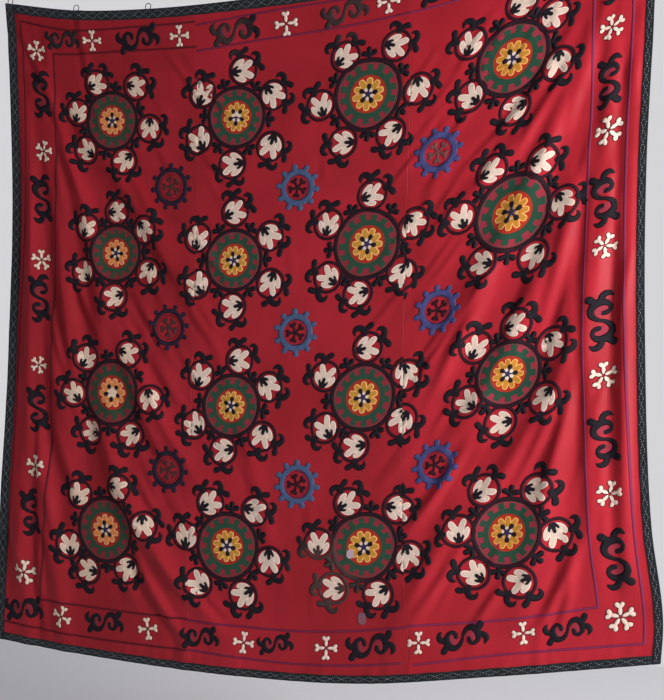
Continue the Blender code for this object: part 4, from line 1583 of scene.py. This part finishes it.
class SUZANI_OT_binding(bpy.types.Operator):
    """Add the folded tape along the four edges, with its crossing rows of pale stitches"""

    bl_idname = "suzani.binding"
    bl_label = "Binding"

    def execute(self, context):
        finish = tape_finish("black_woven_tape")
        thread = cord_finish("grey_sewing_thread", (0.19, 0.22, 0.25), (0.40, 0.44, 0.48))
        edges = (
            ("top", TAPE_TOP, TAPE_LEFT, CLOTH_WIDTH - TAPE_RIGHT, lambda s, d: (s, d)),
            ("bottom", TAPE_BOTTOM, TAPE_LEFT, CLOTH_WIDTH - TAPE_RIGHT, lambda s, d: (s, CLOTH_HEIGHT - d)),
            ("left", TAPE_LEFT, 0.0, CLOTH_HEIGHT, lambda s, d: (d, s)),
            ("right", TAPE_RIGHT, 0.0, CLOTH_HEIGHT, lambda s, d: (CLOTH_WIDTH - d, s)),
        )
        for number, (name, width, start, end, point) in enumerate(edges):
            tape = self.tape(name, width, start, end, point)
            dress(tape, finish)
            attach(tape, BODY)
            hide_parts(f"binding_{name}")
            rows = self.stitches(name, width, start, end, point, number)
            dress(rows, thread)
            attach(rows, BODY)
        return {"FINISHED"}

    def tape(self, name, width, start, end, point):
        """One folded tape."""
        along = np.linspace(start, end, round((end - start) / TAPE_CELL) + 1)
        section = np.arange(len(TAPE_SECTION), dtype=float)

        def place(distance, corner):
            share, extra, forward = np.array([TAPE_SECTION[int(round(k))] for k in corner]).T
            inwards = share * width + extra
            ripple = 0.0004 * np.sin(distance * 210 + 3 * np.sin(distance * 37)) * (inwards > 0.006)
            u, v = point(distance, inwards + 0.0006 * np.sin(distance * 61) * (share > 0.7))
            return hang(u, v, forward + np.sign(forward) * np.abs(ripple))

        tape = grid_sheet(f"tape_{name}", along, section, place)
        outward = hang(*point(np.array([start + 0.3]), np.array([width / 2])), 1.0)[0]
        face = min(tape.data.polygons, key=lambda item: (item.center - Vector(outward)).length)
        thicken(tape, TAPE_THICKNESS * 0.7, -1.0 if face.normal.y < 0 else 1.0)
        return tape

    def stitches(self, name, width, start, end, point, seed):
        """Rows of short stitches that cross to and fro over the tape."""
        chance = random.Random(seed)
        stitch = self.one_stitch()
        rest = points_of(stitch)
        length = settings().stitch_length
        swing_width = width - 2 * STITCH_MARGIN
        places = []
        for phase in (0.0, 0.5):
            distance = start + STITCH_END
            while distance < end - STITCH_END - length:
                middle = distance + length / 2
                swing = (middle / STITCH_DIAMOND / 2 + phase) % 1.0
                inwards = STITCH_MARGIN + swing_width * (1 - abs(2 * swing - 1))
                inwards += chance.uniform(-0.0008, 0.0008)
                slope = swing_width / STITCH_DIAMOND * (1 if swing < 0.5 else -1)
                slant = math.atan(slope) + chance.uniform(-0.08, 0.08)
                along = middle + rest[:, 0] * math.cos(slant) - rest[:, 1] * math.sin(slant)
                inward = inwards + rest[:, 0] * math.sin(slant) + rest[:, 1] * math.cos(slant)
                u, v = point(along, inward)
                places.append(np.stack((u, v, STITCH_HEIGHT + rest[:, 2])))
                distance += math.cos(slant) * (length + STITCH_GAP + chance.uniform(-0.0005, 0.0009))
        flat = np.concatenate(places, axis=1)
        hung = hang(flat[0], flat[1], flat[2]).reshape(len(places), len(rest), 3)
        return repeat_mesh(stitch, hung, f"tape_stitches_{name}")

    def one_stitch(self):
        """A short thread, dipping into the tape at both ends."""
        clear_selection()
        bpy.ops.mesh.primitive_cylinder_add(
            vertices=5, radius=STITCH_RADIUS, depth=settings().stitch_length, rotation=(0, math.pi / 2, 0))
        stitch = bpy.context.object
        bpy.ops.object.transform_apply(rotation=True)
        bpy.ops.object.mode_set(mode="EDIT")
        for cut in (-0.0015, 0.0015):
            bpy.ops.mesh.select_all(action="SELECT")
            bpy.ops.mesh.bisect(plane_co=(cut, 0, 0), plane_no=(1, 0, 0))
        bpy.ops.object.mode_set(mode="OBJECT")
        rest = points_of(stitch)
        half = settings().stitch_length / 2
        rest[:, 2] -= 0.0009 * np.maximum(np.abs(rest[:, 0]) / half - 0.4, 0.0) ** 2 / 0.36
        move_points(stitch, rest)
        return stitch


class SUZANI_OT_loops(bpy.types.Operator):
    """Add the eight twisted cord loops along the top edge"""

    bl_idname = "suzani.loops"
    bl_label = "Hanging loops"

    def execute(self, context):
        finish = cord_finish("black_twisted_cord", (0.010, 0.010, 0.013), (0.030, 0.030, 0.036))
        between = [row.share * CLOTH_WIDTH for row in TOP_EDGE[1:-1]]
        hanging_points = [CORNER_LOOP_INSET, *between, CLOTH_WIDTH - CORNER_LOOP_INSET]
        for number, u in enumerate(hanging_points, start=1):
            loop = self.loop(f"cord_loop_{number}", u)
            dress(loop, finish)
            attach(loop, BODY)
            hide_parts(f"hanging_loop_{number}")
        return {"FINISHED"}

    def loop(self, name, u):
        """Two strands twisted round the loop's route, sewn down at both feet."""
        foot_v = CLOTH_INSET - TAPE_CLEARANCE - TAPE_THICKNESS
        seat = hang(np.array([u - LOOP_SPREAD / 2, u, u + LOOP_SPREAD / 2]), np.full(3, foot_v))
        along = seat[2] - seat[0]
        along[1] = 0.0
        along /= np.linalg.norm(along)
        upwards = np.array([-along[2], 0.0, along[0]])
        middle = (seat[0] + seat[2]) / 2
        start = middle - upwards * LOOP_SINK
        half, top = LOOP_SPREAD / 2, LOOP_HEIGHT + LOOP_SINK
        right = ((half, 0.0), (half, 0.2 * top), (1.12 * half, 0.5 * top), (0.8 * half, 0.84 * top))
        left = [(-side, high) for side, high in reversed(right)]
        route = [start + along * side + upwards * high for side, high in (*right, (0.0, top), *left)]
        route = smooth_path(np.array(route), LOOP_STEPS)
        front = np.array([0.0, -1.0, 0.0])
        strands = []
        for shift in (0.0, math.pi):
            places = []
            for k, place in enumerate(route):
                ahead = route[min(k + 1, len(route) - 1)] - route[max(k - 1, 0)]
                side = np.cross(unit(ahead), front)
                turn = k * STRAND_TWIST + shift
                places.append(place + STRAND_OFFSET * (side * math.cos(turn) + front * math.sin(turn)))
            strands.append(tube(name, places, STRAND_RADIUS, twist="MINIMUM"))
            weld()
            bpy.ops.object.mode_set(mode="OBJECT")
        pick(*strands)
        bpy.ops.object.join()
        loop = bpy.context.object
        loop.name = name
        loop.data.shade_smooth()
        return loop


# Thread colours of each loom width: at tone 0 and at tone 1. They differ partly in real thread colour, as in
# the navy, steel and blue gears, and partly as painted shade that makes the left and middle copies darker,
# away from the window light
THREADS = {
    "black": {
        "left": ((0.010, 0.007, 0.012), (0.026, 0.005, 0.010)),
        "middle": ((0.010, 0.007, 0.012), (0.028, 0.005, 0.011)),
        "right": ((0.011, 0.008, 0.013), (0.032, 0.006, 0.013)),
    },
    "cream": {
        "left": ((0.90, 0.66, 0.54), (0.70, 0.52, 0.40)),
        "middle": ((0.93, 0.69, 0.60), (0.73, 0.56, 0.46)),
        "right": ((0.96, 0.70, 0.60), (0.75, 0.58, 0.47)),
    },
    "golden": {
        "left": ((0.86, 0.37, 0.20), (0.66, 0.23, 0.064)),
        "middle": ((0.92, 0.48, 0.16), (0.54, 0.26, 0.038)),
        "right": ((0.90, 0.42, 0.12), (0.54, 0.23, 0.028)),
    },
    "green": {
        "left": ((0.031, 0.056, 0.032), (0.078, 0.024, 0.026)),
        "middle": ((0.023, 0.066, 0.040), (0.160, 0.056, 0.056)),
        "right": ((0.021, 0.068, 0.040), (0.170, 0.056, 0.056)),
    },
    "blue": {
        "left": ((0.019, 0.011, 0.027), (0.030, 0.022, 0.060)),
        "middle": ((0.064, 0.098, 0.200), (0.030, 0.022, 0.070)),
        "right": ((0.060, 0.062, 0.190), (0.030, 0.022, 0.070)),
    },
    "red": {
        "left": ((0.230, 0.018, 0.030), (0.330, 0.022, 0.012)),
        "middle": ((0.270, 0.021, 0.036), (0.380, 0.026, 0.012)),
        "right": ((0.330, 0.028, 0.050), (0.440, 0.030, 0.012)),
    },
    "violet": {
        "left": ((0.120, 0.008, 0.016), (0.120, 0.008, 0.016)),
        "middle": ((0.170, 0.016, 0.055), (0.170, 0.016, 0.055)),
        "right": ((0.215, 0.023, 0.080), (0.215, 0.023, 0.080)),
    },
    "grey": {
        "middle": ((0.50, 0.35, 0.42), (0.22, 0.085, 0.115)),
    },
}
FADED_BLACK = (0.075, 0.040, 0.038)


class SUZANI_OT_embroidery(bpy.types.Operator):
    """Lay out and hang the medallions, gears, border and frame lines"""

    bl_idname = "suzani.embroidery"
    bl_label = "Embroidery"

    def execute(self, context):
        for number, row in enumerate(MEDALLIONS):
            lay_medallion(row, number)
        for lay, rows in (
            (lay_gear, GEARS), (lay_white_sprig, SPRIGS), (lay_scroll, SCROLLS),
            (lay_frame_line, FRAME_LINES), (lay_mend, MENDS),
        ):
            for row in rows:
                lay(row)
        for thread, shades in THREADS.items():
            for panel, (light, dark) in shades.items():
                whole = WORK.gather_up(thread, panel)
                if whole is None:
                    continue
                faded = FADED_BLACK if thread == "black" else None
                dress(whole, thread_finish(f"{thread}_thread_{panel}", light, dark, faded))
                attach(whole, BODY)
        return {"FINISHED"}


class SUZANI_PT_panel(bpy.types.Panel):
    """The hanging's pieces and settings in the sidebar"""

    bl_label = "Suzani wall hanging"
    bl_idname = "SUZANI_PT_panel"
    bl_space_type = "VIEW_3D"
    bl_region_type = "UI"
    bl_category = "Suzani"

    def draw(self, context):
        for name in HangingSettings.__annotations__:
            self.layout.prop(context.scene.suzani, name)
        for operator in OPERATORS:
            self.layout.operator(operator.bl_idname)


OPERATORS = (
    SUZANI_OT_stage,
    SUZANI_OT_cloth,
    SUZANI_OT_binding,
    SUZANI_OT_loops,
    SUZANI_OT_embroidery,
)
CLASSES = (HangingSettings, *OPERATORS, SUZANI_PT_panel)


def register():
    """Register the classes and the scene's settings."""
    for kind in CLASSES:
        bpy.utils.register_class(kind)
    bpy.types.Scene.suzani = PointerProperty(type=HangingSettings)


def unregister():
    """Take the settings and the classes out again."""
    del bpy.types.Scene.suzani
    for kind in reversed(CLASSES):
        bpy.utils.unregister_class(kind)


def main():
    """Make every piece in order."""
    register()
    bpy.ops.suzani.stage()
    bpy.ops.suzani.cloth()
    bpy.ops.suzani.binding()
    bpy.ops.suzani.loops()
    bpy.ops.suzani.embroidery()
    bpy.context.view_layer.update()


if __name__ == "__main__":
    main()
